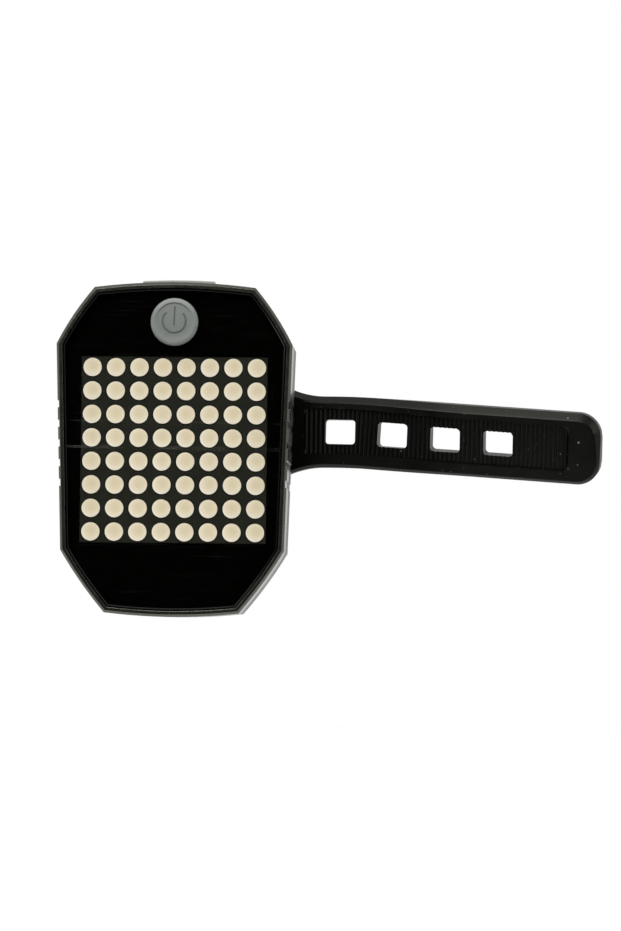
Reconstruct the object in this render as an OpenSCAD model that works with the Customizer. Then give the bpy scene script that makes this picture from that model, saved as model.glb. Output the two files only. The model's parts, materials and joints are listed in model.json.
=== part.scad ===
// Bicycle turn signal light: a flat eight-sided lamp with an eight by eight dot matrix behind a
// glossy front lens, a power button, a charging port cover, and a rubber strap with a cradle
// that ties it to a seat post. Millimetres. +Z is up as the lamp hangs on the post, the lens
// faces -Y, and the origin is on the post's axis, level with the middle of the strap.

/* [Body outline] */
// Height of the crown of the top edge above the lamp matrix
top_border = 15; // [14.2:0.05:18]
// Depth of the lowest point of the bottom edge below the lamp matrix
bottom_border = 14.95; // [14.2:0.05:18]
// Width of the border beside the lamp matrix at the upper side corners
upper_border = 5.05; // [4.7:0.05:8]
// Width of the border beside the lamp matrix at the lower side corners
lower_border = 3.75; // [3.4:0.05:7]
// Height of the upper side corners above the lamp matrix
upper_corner_up = 2.45; // [1.2:0.05:4]
// Depth of the lower side corners below the lamp matrix
lower_corner_down = 1.6; // [0.7:0.05:3.6]
// Width of the top edge between its corners
top_edge_w = 32.6; // [30:0.1:35]
// Width of the bottom edge between its corners
bottom_edge_w = 27.2; // [26:0.1:31]
// Rise of the top edge's arc above its corners
top_rise = 1.05; // [0.7:0.05:1.5]
// Drop of the bottom edge's arc below its corners
bottom_rise = 0.8; // [0.6:0.05:1.2]
// Bulge of the two upper slanted edges
upper_bulge = 0.42; // [0.25:0.01:0.5]
// Bulge of the two lower slanted edges
lower_bulge = 0.35; // [0.25:0.01:0.5]

/* [Housings] */
// Wall thickness of both housings
wall = 2.1; // [1.9:0.05:2.4]
// Bevel round the front rim
rim_bevel = 0.5; // [0.3:0.05:0.9]
// Width of the rim from its outer edge to the lens pocket
rim_w = 1.15; // [1:0.05:1.4]
// Draft of the front housing's wall over its depth
front_draft = 0.05; // [0:0.05:0.2]
// Draft of the rear housing's wall over its depth
rear_draft = 0.1; // [0.05:0.05:0.6]
// Chamfer round the back of the rear housing
back_chamfer = 2.2; // [1.5:0.1:2.6]
// Thickness of the plate that the lens is stuck to
plate_t = 1.2; // [1:0.1:1.6]
// Thickness of the rear housing's back wall
back_wall = 2.2; // [2:0.1:3]
// Finger grooves on each side wall
groove_count = 5; // [3:1:7]
// Pitch of the finger grooves
groove_pitch = 3.97; // [3:0.01:4.5]
// Width of a finger groove
groove_w = 1.45; // [1:0.05:1.8]
// Depth of a finger groove
groove_depth = 0.3; // [0.2:0.05:0.6]
// Height of the middle groove above the lamp's centre
groove_mid_z = 1.1; // [-2:0.1:3]
// Width of the opening notch in the rear housing's bottom edge
notch_w = 8.3; // [6:0.1:12]
// Depth of the opening notch
notch_depth = 0.5; // [0.3:0.05:0.7]
// Length of the opening notch along the wall
notch_len = 2; // [1:0.1:4]

/* [Seal] */
// Distance of the seal from the outer edge of the parting plane
seal_in = 0.75; // [0.65:0.05:0.85]
// Width of the seal
seal_w = 0.7; // [0.5:0.05:0.8]
// Thickness of the seal
seal_t = 0.8; // [0.5:0.05:1]
// Thickness of the wall between the seal and the seat of the port cover
seal_lip = 0.55; // [0.4:0.05:1]

/* [Lens] */
// Thickness of the lens
lens_t = 1.5; // [1.2:0.1:2]
// Depth of the lens face behind the rim
lens_sink = 0.1; // [0:0.05:0.3]
// Gap between the lens and its pocket
lens_gap = 0.2; // [0.1:0.05:0.35]
// Width of the bevel round the lens face
lens_bevel_w = 0.35; // [0.1:0.05:0.5]
// Depth of the bevel round the lens face
lens_bevel_t = 0.2; // [0.1:0.05:0.4]
// Thickness of the black mask behind the lens
mask_t = 0.15; // [0.1:0.05:0.25]

/* [Power button] */
// Diameter of the button
button_d = 9.6; // [8.5:0.1:10]
// Height of the button above the lamp matrix
button_up = 6.9; // [6.4:0.05:7.1]
// Height of the button above the lens face
button_proud = 1.1; // [0.7:0.1:1.8]
// Rounding of the button's edge
button_round = 0.8; // [0.4:0.1:1]
// Depth of the dish in the button's top
button_dish = 0.15; // [0.05:0.05:0.3]
// Width of the button's flange beyond its side
flange_reach = 0.75; // [0.5:0.05:0.9]
// Thickness of the button's flange
flange_t = 0.8; // [0.6:0.1:1.2]
// Length of the stub behind the flange
stub_len = 0.3; // [0.2:0.05:0.6]
// Diameter of the stub
stub_d = 3; // [2.5:0.1:3.4]
// Gap round the button
button_gap = 0.2; // [0.1:0.05:0.3]
// Travel of the button
button_travel = 0.5; // [0.3:0.05:0.6]

/* [Lamp matrix] */
// Dots along each side of the matrix
dot_count = 8; // [4:1:8]
// Width of the matrix case outside its outermost dots
dot_edge = 0.34; // [0.2:0.02:0.6]
// Diameter of a dot
dot_d = 3.7; // [3:0.05:3.9]
// Length of a dot's light guide
dot_len = 2.5; // [1.5:0.1:4]
// Gap round a dot
dot_gap = 0.03; // [0.02:0.01:0.05]
// Side of the matrix case
matrix_w = 37.7; // [37.5:0.05:38.1]
// Depth of the matrix case
matrix_depth = 8; // [7:0.1:9]
// Gap between the matrix and its window
window_gap = 0.15; // [0.1:0.05:0.2]
// Gap between the mask and the front of the matrix
matrix_gap = 0.1; // [0.05:0.05:0.2]
// Pins in each row
pin_count = 8; // [4:1:8]
// Pitch of the pins
pin_pitch = 2.54; // [2:0.01:2.54]
// Distance between the two rows of pins
pin_rows = 30.48; // [27:0.01:33]
// Diameter of a pin
pin_wire = 0.5; // [0.4:0.05:0.6]
// Length of the pins behind the board
pin_tail = 1.6; // [1.5:0.1:2.2]

/* [Circuit board] */
// Thickness of the board
board_t = 1.2; // [1:0.1:1.6]
// Gap between the board and the housing wall
board_gap = 0.5; // [0.3:0.05:0.8]
// Gap round a pin in its hole
pin_gap = 0.1; // [0.05:0.05:0.2]
// Side of the push switch
switch_w = 6; // [5.5:0.1:6.2]
// Height of the push switch without its plunger
switch_h = 3.5; // [3.2:0.1:3.8]
// Diameter of the switch plunger
plunger_d = 3.5; // [3:0.1:3.7]
// Length of the plunger inside the switch
plunger_in = 0.8; // [0.6:0.1:1.2]
// Gap round the plunger
plunger_gap = 0.05; // [0.03:0.01:0.08]
// Thickness of the chips
chip_t = 1.4; // [1:0.1:1.7]
// Width of the lamp driver chip
driver_w = 12; // [9:0.5:16]
// Height of the lamp driver chip
driver_h = 7.5; // [5:0.5:8]
// Height of the driver chip's middle above the lamp's centre
driver_z = 4; // [1:0.5:6]
// Width of the control chip
control_w = 8; // [5:0.5:10]
// Height of the control chip
control_h = 5; // [4:0.5:7]
// Depth of the control chip's middle below the lamp's centre
control_z = 7; // [5:0.5:10]
// Side of the charging chip
charger_w = 4.9; // [3:0.1:5.2]
// Gap between the charging chip and its socket
charger_gap = 1.7; // [1:0.1:2]
// Width of the radio receiver board
radio_w = 13; // [10:0.5:16]
// Height of the radio receiver board
radio_h = 6.4; // [5:0.1:7]
// Thickness of the radio receiver board
radio_t = 1; // [0.8:0.1:1.6]
// Height of the radio board above the bottom end of the main board
radio_up = 1.85; // [1.2:0.05:4]

/* [Charging port] */
// Width of the charging socket
socket_w = 7.6; // [7.2:0.1:8]
// Thickness of the charging socket
socket_t = 2.7; // [2.5:0.1:3]
// Length of the charging socket
socket_len = 5.2; // [4.6:0.1:6]
// Thickness of the socket's metal shell
socket_shell = 0.3; // [0.2:0.05:0.35]
// Width of the port cover
cover_w = 14.8; // [13.8:0.1:15.4]
// Size of the port cover along the depth of the lamp
cover_depth = 5.4; // [5:0.1:6.2]
// Depth of the cover's seat below the crown of the top edge
cover_sink = 0.95; // [0.8:0.05:1.1]
// Height of the cover above the crown of the top edge
cover_proud = 1.45; // [0.8:0.05:2]
// Gap round the cover in its seat
cover_gap = 0.2; // [0.15:0.05:0.3]
// Distance of the cover's flex line from its middle
flex_x = 3.9; // [3.7:0.1:4.3]
// Step from the cover's top down to its round end at the flex line
flex_step = 0.1; // [0.05:0.05:0.3]
// Gap between the cover and its anchor at the flex line
flex_gap = 0.15; // [0.1:0.05:0.25]
// Width of the cover's tongue
tongue_w = 6.2; // [5.6:0.1:6.4]
// Thickness of the cover's tongue
tongue_t = 1.4; // [1:0.1:1.6]
// Reach of the tongue into the socket
tongue_in = 1.2; // [0.8:0.1:2]
// Gap round the tongue in the housing
tongue_gap = 0.4; // [0.3:0.05:0.5]
// Diameter of the anchor's stem
anchor_d = 1.6; // [1.4:0.1:1.8]
// Diameter of the barb on the anchor's stem
barb_d = 2; // [1.9:0.1:2.2]
// Length of the barb
barb_len = 1; // [0.8:0.1:1.4]

/* [Battery] */
// Width of the battery cell
cell_w = 30; // [26:0.5:32]
// Height of the battery cell
cell_h = 34; // [28:0.5:35]
// Thickness of the battery cell
cell_t = 5; // [4:0.1:6]
// Height of the cell's middle above the lamp's centre
cell_z = -1.2; // [-1.5:0.1:-0.6]
// Gap between the pins and the cell
cell_gap = 0.3; // [0.2:0.05:0.6]
// Thickness of the foam pad behind the cell
foam_t = 0.6; // [0.5:0.1:1]
// Width of the foam left free round the cell's edge
foam_in = 2.5; // [2:0.1:4]
// Diameter of the battery leads
lead_d = 1.2; // [1:0.1:1.4]
// Distance of each lead from the middle
lead_x = 5; // [4:0.1:6]
// Length of the leads above the cell before they bend
lead_rise = 0.8; // [0.5:0.1:1]
// Bend radius of the leads
lead_bend = 2; // [1.5:0.1:2]

/* [Screws] */
// Distance of the screws from the slanted edges
screw_in = 6.2; // [6:0.1:6.6]
// Diameter of a screw
screw_d = 2; // [1.8:0.05:2.2]
// Length of a screw in the front boss
screw_bite = 3.6; // [3:0.1:4.2]
// Diameter of a screw head
head_d = 3.6; // [3.2:0.1:3.8]
// Thickness of a screw head
head_t = 1.4; // [1:0.1:1.6]
// Length of a screw head's cross recess
recess_len = 2.2; // [1.8:0.1:2.6]
// Width of the arms of the recess
recess_w = 0.6; // [0.4:0.1:0.8]
// Depth of the recess
recess_t = 0.7; // [0.4:0.1:0.9]
// Depth of a screw head's seat below the back face
head_sink = 4.4; // [3.6:0.1:5]
// Diameter of the screw bosses and posts
boss_d = 5.4; // [5.2:0.1:5.6]
// Gap round a screw in its holes
screw_gap = 0.04; // [0.03:0.01:0.08]
// Gap round a screw head
head_gap = 0.25; // [0.2:0.05:0.35]

/* [Seat-post cradle] */
// Diameter of the seat post
post_d = 27.2; // [25:0.1:30]
// Angle of the post that the cradle wraps round
cradle_wrap = 130; // [126:1:134]
// Height of the cradle along the post
cradle_h = 20; // [16:0.5:22]
// Thickness of the rubber under the post
cradle_floor = 2.6; // [2.2:0.1:3.6]
// Thickness of the cradle's horns at their tips
horn_t = 1.1; // [0.8:0.1:1.3]
// Depth of the cradle's seat in the back wall
cradle_seat = 0.6; // [0.4:0.1:0.8]
// Gap round the cradle in its seat
cradle_gap = 0.1; // [0.05:0.05:0.2]
// Height of the strap's middle above the lamp's centre
mount_z = 5.15; // [4:0.05:6]

/* [Strap mount] */
// Distance of the strap pin from the middle
pin_x = 17.6; // [17.2:0.1:17.8]
// Distance of the strap pin behind the back wall
pin_back = 3.7; // [3.5:0.1:4.2]
// Diameter of the strap pin
pin_d = 2.5; // [2:0.1:2.8]
// Gap round the pin in the strap's eye
pin_run = 0.06; // [0.04:0.01:0.09]
// Gap round the pin in the ears
pin_fit = 0.02; // [0.01:0.01:0.03]
// Thickness of the ears
ear_t = 2.4; // [2:0.1:3]
// Gap between the ears and the strap's eye
ear_gap = 0.35; // [0.3:0.05:0.5]
// Radius of the ears round the pin
ear_r = 2.9; // [2.6:0.1:3]
// Distance of the hook's neck from the middle
hook_x = 16.8; // [16.4:0.1:17]
// Thickness of the hook's neck
hook_neck = 2.6; // [2.2:0.1:2.8]
// Width of the hook
hook_w = 4.4; // [3.6:0.1:4.6]
// Gap under the hook's tongue
hook_gap = 4.4; // [4.2:0.1:5]
// Thickness of the hook's tongue
hook_t = 2; // [1.6:0.1:2.4]
// Length of the hook's tongue
hook_len = 4.6; // [4.2:0.1:4.8]

/* [Strap] */
// Length of the strap from its pin to its tip
strap_len = 70.2; // [66:0.2:80]
// Width of the strap
strap_w = 14.8; // [14:0.1:16]
// Thickness of the strap
strap_t = 3; // [2.6:0.1:3.4]
// Width of the strap at its eye
root_w = 20; // [18:0.2:22]
// Radius of the strap's eye
eye_r = 2.7; // [2.5:0.05:2.9]
// Distance from the pin at which the root has narrowed to the strap
flare_end = 12; // [10:0.2:13.6]
// Radius of the corners of the strap's tip
tip_r = 4.8; // [4:0.1:6.4]
// Width of the bevel along the front edges of the strap
bevel_w = 1.4; // [0.8:0.05:1.8]
// Depth of the bevel along the front edges of the strap
bevel_t = 1.4; // [0.8:0.05:1.8]
// Bevel along the back edges of the strap
back_bevel = 0.3; // [0.2:0.05:0.6]
// Holes in the strap
hole_count = 4; // [2:1:4]
// Distance of the first hole from the pin
first_hole = 15.3; // [14.8:0.1:16.5]
// Pitch of the holes
hole_pitch = 11.2; // [10.5:0.05:12]
// Length of a hole along the strap
hole_len = 6.6; // [5.8:0.05:6.8]
// Width of a hole across the strap
hole_w = 5.3; // [5:0.05:5.6]
// Radius of a hole's corners
hole_r = 0.75; // [0.4:0.05:1.2]
// Distance of the ribbed panel from the pin
panel_start = 8.3; // [7.6:0.1:9.4]
// Width of the ribbed panel
panel_w = 9.2; // [8:0.1:9.8]
// Depth of the ribbed panel's valleys
panel_depth = 0.6; // [0.4:0.05:0.8]
// Radius of the ribbed panel's corners
panel_r = 1.2; // [0.6:0.1:2]
// Distance of the ribbed panel's end from the strap's tip
panel_tip = 6.4; // [6.4:0.1:9]
// Pitch of the ribs
rib_pitch = 0.94; // [0.88:0.01:1.1]
// Height of the ribs
rib_h = 0.35; // [0.2:0.05:0.4]
// Angle by which the free end bends towards the front
strap_bend = 13; // [10:0.5:24]
// Angle by which the free end droops
strap_droop = 4.2; // [0:0.1:5]
// Twist of the strap at its tip
strap_twist = 17; // [0:0.5:20]
// Distance from the pin at which the bend starts
bend_start = 14; // [12:0.2:20]
// Length of the bend
bend_len = 8; // [6:0.2:12]

/* [Hidden] */
// Spare length of a cut beyond the face that it opens
over = 1;
// Reach of the blocks that trim the side walls
reach = 200;
// Gap at which two flat faces of moving pieces meet
touch = 0.05;
// Facets of small round pieces and of the long edge arcs, and the angle between a rounding's points
$fn = 64;
edge_facets = 240;
round_step = 15;

// Outline of the body and places in it, measured from the middle of the lamp matrix
matrix_half = matrix_w / 2;
body_top = matrix_half + top_border;
body_bottom = matrix_half + bottom_border;
upper_corner_z = matrix_half + upper_corner_up;
lower_corner_z = matrix_half + lower_corner_down;
button_z = matrix_half + button_up;
dot_pitch = (matrix_w - dot_d - 2 * dot_edge) / (dot_count - 1);

// Depths of the layers, measured back from the front of the rim
lens_back_d = lens_sink + lens_t;
plate_front_d = lens_back_d + mask_t;
plate_back_d = plate_front_d + plate_t;
matrix_front_d = plate_front_d + matrix_gap;
board_front_d = matrix_front_d + matrix_depth;
board_back_d = board_front_d + board_t;
port_d = board_back_d + socket_t / 2;
parting_d = port_d - cover_depth / 2 - cover_gap - seal_lip - seal_t;
cell_front_d = board_back_d + pin_tail + cell_gap;
foam_front_d = cell_front_d + cell_t;
cavity_back_d = foam_front_d + foam_t;
body_depth = cavity_back_d + back_wall;

// Insets from the body outline
back_inset = front_draft + rear_draft;
lens_inset = rim_w + lens_gap;
front_cavity_inset = wall + front_draft;
rear_cavity_inset = wall + back_inset;
board_inset = rear_cavity_inset + board_gap;

// Places in the part's own frame
post_r = post_d / 2;
back_y = -(post_r + cradle_floor - cradle_seat);
lamp_z = -mount_z;

// Corners of the right half of the outline, with the height in second place
upper_corner = [matrix_half + upper_border, upper_corner_z];
top_corner = [top_edge_w / 2, body_top - top_rise];
lower_corner = [matrix_half + lower_border, -lower_corner_z];
bottom_corner = [bottom_edge_w / 2, bottom_rise - body_bottom];
side_lean = atan((upper_border - lower_border) / (upper_corner_z + lower_corner_z));

function left(p) = [-p[0], p[1]];
function outward(p, q) = [q[1] - p[1], p[0] - q[0]] / norm(q - p);
function arc_radius(p, q, rise) = pow(norm(q - p), 2) / (8 * rise) + rise / 2;
function arc_centre(p, q, rise) = (p + q) / 2 - outward(p, q) * (arc_radius(p, q, rise) - rise);

// The six curved edges as centre and radius, counter-clockwise seen from the front
EDGES = [for (e = [
    [upper_corner, top_corner, upper_bulge],
    [top_corner, left(top_corner), top_rise],
    [left(top_corner), left(upper_corner), upper_bulge],
    [left(lower_corner), left(bottom_corner), lower_bulge],
    [left(bottom_corner), bottom_corner, bottom_rise],
    [bottom_corner, lower_corner, lower_bulge]
]) [arc_centre(e[0], e[1], e[2]), arc_radius(e[0], e[1], e[2])]];
TOP_EDGE = EDGES[1];

// Screw places, set in from the middle of each slanted edge
function set_in(p, q) = (p + q) / 2 - outward(p, q) * screw_in;
upper_screw = set_in(upper_corner, top_corner);
lower_screw = set_in(bottom_corner, lower_corner);
SCREWS = [upper_screw, left(upper_screw), lower_screw, left(lower_screw)];
screw_head_d = body_depth - head_sink;
screw_tip_d = board_front_d - screw_bite;

// Button and switch
button_r = button_d / 2;
flange_r = button_r + flange_reach;
flange_back_d = plate_back_d + flange_t;
plunger_front_d = flange_back_d + stub_len + touch;
switch_front_d = board_front_d - switch_h;

// Charging port, in the lamp's front view: x and height above the lamp's centre
socket_mouth_z = body_top - board_inset;
cover_seat_z = body_top - cover_sink;
cover_arc_r = TOP_EDGE[1] + cover_proud;
flex_top = TOP_EDGE[0][1] + sqrt(pow(cover_arc_r, 2) - pow(flex_x, 2)) - flex_step;
flex_r = (flex_top - cover_seat_z - touch) / 2;
flex_z = flex_top - flex_r;
anchor_right = -flex_x - flex_r - flex_gap;
anchor_x = (anchor_right - cover_w / 2) / 2;
barb_out = barb_d / 2 - anchor_x;
barb_z = TOP_EDGE[0][1] + sqrt(pow(TOP_EDGE[1] - rear_cavity_inset, 2) - pow(barb_out, 2)) - touch;

// Strap mount
pin_y = back_y + pin_back;
eye_len = root_w + 2 * touch;
ear_z = eye_len / 2 + ear_gap;
pin_len = 2 * (ear_z + ear_t);
hook_top = hook_gap + hook_t;
horn_half = post_r * sin(cradle_wrap / 2);
horn_y = -post_r * cos(cradle_wrap / 2);

// Strap path: straight from the pin, then a bend towards the front and down, then straight
bend_r = bend_len / (strap_bend * PI / 180);
bend_slant = asin(sin(strap_droop) / sin(strap_bend));
bend_away = [0, -cos(bend_slant), -sin(bend_slant)];
bend_axis = cross([1, 0, 0], bend_away);
rib_count = floor((strap_len - panel_tip - panel_start) / rib_pitch);
panel_end = panel_start + rib_count * rib_pitch;

function turned(v, axis, angle) =
    v * cos(angle) + cross(axis, v) * sin(angle) + axis * (axis * v) * (1 - cos(angle));
function strap_turn(s) = strap_bend * min(1, max(0, (s - bend_start) / bend_len));
function strap_roll(s) = strap_twist * max(0, (s - bend_start) / (strap_len - bend_start));
function strap_dir(s) = turned([1, 0, 0], bend_axis, strap_turn(s));
function strap_side(v, s) = turned(turned(v, bend_axis, strap_turn(s)), strap_dir(s), strap_roll(s));
function strap_back(s) = strap_side([0, 1, 0], s);
function strap_up(s) = strap_side([0, 0, 1], s);
function strap_point(s) =
    [min(s, bend_start), 0, 0]
    + bend_r * sin(strap_turn(s)) * [1, 0, 0]
    + bend_r * (1 - cos(strap_turn(s))) * bend_away
    + max(0, s - bend_start - bend_len) * strap_dir(s);

// Half widths of the strap and of its panel, and the depth of the panel's floor
function flare(s) = pow(min(1, max(0, (flare_end - s) / (flare_end - eye_r))), 2);
function tip_cut(s) = tip_r - sqrt(pow(tip_r, 2) - pow(max(0, s - strap_len + tip_r), 2));
function half_width(s) = strap_w / 2 + (root_w - strap_w) / 2 * flare(s) - tip_cut(s);
function panel_inset(s) = max(0, panel_r - min(s - panel_start, panel_end - s));
function panel_cut(s) = panel_r - sqrt(max(0, pow(panel_r, 2) - pow(min(panel_r, panel_inset(s)), 2)));
function panel_half(s) = min(panel_w / 2 - panel_cut(s), half_width(s) - bevel_w - touch);
function front_face(s) = -strap_t / 2 + bevel_t * max(0, 1 - (strap_len - s) / bevel_w);
function floor_depth(i) = panel_depth - (i % 2 == 1 ? rib_h : 0);

// Stations along the strap: the root, two for each rib, and the rounded tip
root_steps = 8;
tip_steps = 8;
root_start = (pin_d / 2 + eye_r) / 2;
ROOT = [for (i = [0 : root_steps - 1]) root_start + (panel_start - root_start) * i / root_steps];
PANEL = [for (i = [0 : 2 * rib_count]) panel_start + i * rib_pitch / 2];
TIP = [for (i = [0 : tip_steps]) strap_len - tip_r + tip_r * sin(90 * i / tip_steps)];
STATIONS = concat(ROOT, PANEL, TIP);
SIDES = 10;

// A point of the strap's section: how far back of its middle, and how far up its width
function strap_spot(s, back, up) = strap_point(s) + strap_back(s) * back + strap_up(s) * up;
function strap_section(s) = let (
    front = front_face(s),
    rear = strap_t / 2,
    half = half_width(s),
    panel = panel_half(s),
    edge = min(front + bevel_t, rear - back_bevel - touch),
    lower = [[rear, back_bevel - half], [rear - back_bevel, -half], [edge, -half],
        [front, bevel_w - half], [front, -panel]],
    upper = [for (i = [len(lower) - 1 : -1 : 0]) [lower[i][0], -lower[i][1]]]
) [for (p = concat(lower, upper)) strap_spot(s, p[0], p[1])];

// Draws in the lamp's front view at a depth: x, height above its centre, and towards the front
module at_depth(d) {
    translate([0, back_y - body_depth + d, lamp_z]) rotate([90, 0, 0]) children();
}

// Both sides of what is drawn on the right
module both_sides() {
    children();
    mirror([1, 0, 0]) children();
}

// Places things along the right side wall, whose face is the plane of x = 0 there
module along_side() {
    translate([upper_corner[0], upper_corner[1], 0]) rotate([0, 0, -side_lean]) children();
}

// A slice of the body between two depths, set in from the outline at its front and at its back
module body_block(front_d, back_d, front_in, back_in) {
    thick = back_d - front_d;
    lean = (back_in - front_in) / thick;
    at_depth(back_d) difference() {
        intersection_for (e = EDGES) {
            translate([e[0][0], e[0][1], 0])
                cylinder(r1 = e[1] - back_in, r2 = e[1] - front_in, h = thick, $fn = edge_facets);
        }
        both_sides() along_side() rotate([90, 0, 0]) linear_extrude(height = reach, center = true)
            polygon([[-back_in - lean * over, -over], [reach, -over], [reach, thick + over],
                [-front_in + lean * over, thick + over]]);
    }
}

// A block that slopes in at 45 degrees towards the back, with its inset at the back depth
module back_slope(front_d, back_d, inset) {
    body_block(front_d - over, back_d + over, inset - (back_d - front_d) - over, inset + over);
}

// The five finger grooves down each side wall
module side_grooves() {
    run = body_depth + 2 * over;
    at_depth(body_depth + over) both_sides() along_side() for (i = [0 : groove_count - 1]) {
        z = groove_mid_z + (i - (groove_count - 1) / 2) * groove_pitch;
        translate([-groove_depth, (z - upper_corner_z) / cos(side_lean) - groove_w / 2, 0])
            cube([groove_depth + over, groove_w, run]);
    }
}

// A round bar along the depth at a place in the front view
module depth_bar(place, front_d, back_d, dia) {
    at_depth(back_d) translate([place[0], place[1], 0]) cylinder(d = dia, h = back_d - front_d);
}

// A block on or in the front view, centred on a place, with its width, height and thickness
module depth_block(place, front_d, size) {
    at_depth(front_d + size[2])
        translate([place[0] - size[0] / 2, place[1] - size[1] / 2, 0])
            cube(size);
}

// A ring of the body outline at the parting plane
module parting_ring(front_d, back_d, outer_in, inner_in) {
    difference() {
        body_block(front_d, back_d, outer_in, outer_in);
        body_block(front_d - over, back_d + over, inner_in, inner_in);
    }
}

// A rectangle with rounded corners
module round_rect(w, h, r) {
    square([w - 2 * r, h], center = true);
    square([w, h - 2 * r], center = true);
    for (x = [-1, 1], y = [-1, 1]) translate([x * (w / 2 - r), y * (h / 2 - r)]) circle(r = r);
}

// The dots' places in the front view
module each_dot() {
    for (i = [0 : dot_count - 1], j = [0 : dot_count - 1])
        translate([i - (dot_count - 1) / 2, j - (dot_count - 1) / 2, 0] * dot_pitch) children();
}

// The matrix pins' places in the front view
module each_pin() {
    for (i = [0 : pin_count - 1], row = [-1, 1])
        translate([(i - (pin_count - 1) / 2) * pin_pitch, row * pin_rows / 2, 0]) children();
}

// The hole for the button, through the lens, the mask and the plate
module button_hole(front_d, back_d) {
    depth_bar([0, button_z], front_d - over, back_d + over, button_d + 2 * button_gap);
}

// The square window for the matrix
module matrix_window(front_d, back_d) {
    side = matrix_w + 2 * window_gap;
    depth_block([0, 0], front_d - over, [side, side, back_d - front_d + 2 * over]);
}

module front_lens() {
    bevel_d = lens_sink + lens_bevel_t;
    color("black", 0.5) difference() {
        union() {
            body_block(lens_sink, bevel_d, lens_inset + lens_bevel_w, lens_inset);
            body_block(bevel_d, lens_back_d, lens_inset, lens_inset);
        }
        button_hole(lens_sink, lens_back_d);
    }
}

module lens_mask() {
    color([0.02, 0.02, 0.01]) difference() {
        body_block(lens_back_d, plate_front_d, lens_inset, lens_inset);
        button_hole(lens_back_d, plate_front_d);
        matrix_window(lens_back_d, plate_front_d);
    }
}

// The front frame: bevelled rim, lens pocket, plate with its window, and four screw bosses
module front_housing() {
    color([0.12, 0.12, 0.11]) difference() {
        union() {
            difference() {
                union() {
                    body_block(0, rim_bevel, rim_bevel, 0);
                    body_block(rim_bevel, parting_d, 0, front_draft);
                }
                body_block(-over, plate_front_d, rim_w, rim_w);
                body_block(plate_back_d, parting_d + over, front_cavity_inset, front_cavity_inset);
                matrix_window(plate_front_d, plate_back_d);
            }
            for (place = SCREWS) depth_bar(place, plate_front_d, board_front_d, boss_d);
        }
        for (place = SCREWS)
            depth_bar(place, screw_tip_d - touch, board_front_d + over, screw_d + 2 * screw_gap);
        button_hole(plate_front_d, plate_back_d);
        side_grooves();
    }
}

// The tapered tub of the rear housing before its openings are cut
module rear_tub() {
    difference() {
        intersection() {
            body_block(parting_d, body_depth, front_draft, back_inset);
            back_slope(parting_d, body_depth, back_inset + back_chamfer);
        }
        body_block(parting_d - over, cavity_back_d, rear_cavity_inset, rear_cavity_inset);
    }
}

// One ear of the strap mount, standing on the back wall beside the strap's eye
module strap_ear() {
    translate([pin_x, pin_y, ear_z]) linear_extrude(height = ear_t) {
        circle(r = ear_r);
        translate([-ear_r, -pin_back - back_wall / 2]) square([2 * ear_r, pin_back + back_wall / 2]);
    }
}

// The hook that takes the strap's hole: a neck on the back wall and a tongue away from the middle
module strap_hook() {
    translate([-hook_x, back_y, -hook_w / 2]) {
        translate([-hook_neck / 2, -back_wall / 2, 0])
            cube([hook_neck, hook_top + back_wall / 2, hook_w]);
        translate([-hook_neck / 2 - hook_len, hook_gap, 0])
            cube([hook_len + hook_neck, hook_t, hook_w]);
    }
}

// The seat of the port cover in the top wall, with the slot for its tongue and the stem's hole
module port_cut() {
    seat_w = cover_w + 2 * cover_gap;
    seat_h = cover_sink + over;
    slot_h = rear_cavity_inset + over;
    slot_z = body_top - slot_h / 2;
    seat_d = cover_depth + 2 * cover_gap;
    slot_t = tongue_t + 2 * tongue_gap;
    depth_block([0, cover_seat_z + seat_h / 2], port_d - seat_d / 2, [seat_w, seat_h, seat_d]);
    depth_block([0, slot_z], port_d - slot_t / 2, [tongue_w + 2 * tongue_gap, slot_h, slot_t]);
    at_depth(port_d) translate([anchor_x, body_top - slot_h, 0]) rotate([-90, 0, 0])
        cylinder(d = anchor_d + 2 * touch, h = slot_h);
}

// The notch that takes a blade to open the housing, across the bottom wall at the parting plane
module opening_notch() {
    notch_h = notch_depth + front_draft + over;
    place = [0, -body_bottom + notch_depth + front_draft - notch_h / 2];
    depth_block(place, parting_d - over, [notch_w, notch_h, notch_len + over]);
}

// The shallow pocket in the back wall that the cradle sits in
module cradle_pocket() {
    pocket_w = 2 * (horn_half + cradle_gap);
    pocket_h = cradle_h + 2 * cradle_gap;
    translate([-pocket_w / 2, back_y - cradle_seat, -pocket_h / 2])
        cube([pocket_w, cradle_seat + over, pocket_h]);
}

// The rear tub: screw posts, strap ears, hook, cradle seat, port seat and seal groove
module rear_housing() {
    color([0.12, 0.12, 0.11]) difference() {
        union() {
            rear_tub();
            for (place = SCREWS) depth_bar(place, board_back_d, cavity_back_d + back_wall / 2, boss_d);
            strap_ear();
            mirror([0, 0, 1]) strap_ear();
            strap_hook();
        }
        parting_ring(parting_d - over, parting_d + seal_t, seal_in - touch, seal_in + seal_w + touch);
        for (place = SCREWS) {
            depth_bar(place, board_back_d - over, body_depth + over, screw_d + 2 * screw_gap);
            depth_bar(place, screw_head_d, body_depth + over, head_d + 2 * head_gap);
        }
        translate([pin_x, pin_y, 0])
            cylinder(d = pin_d + 2 * pin_fit, h = pin_len + 2 * over, center = true);
        cradle_pocket();
        port_cut();
        opening_notch();
        side_grooves();
    }
}

module housing_seal() {
    color("dimgray") parting_ring(parting_d, parting_d + seal_t, seal_in, seal_in + seal_w);
}

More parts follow.
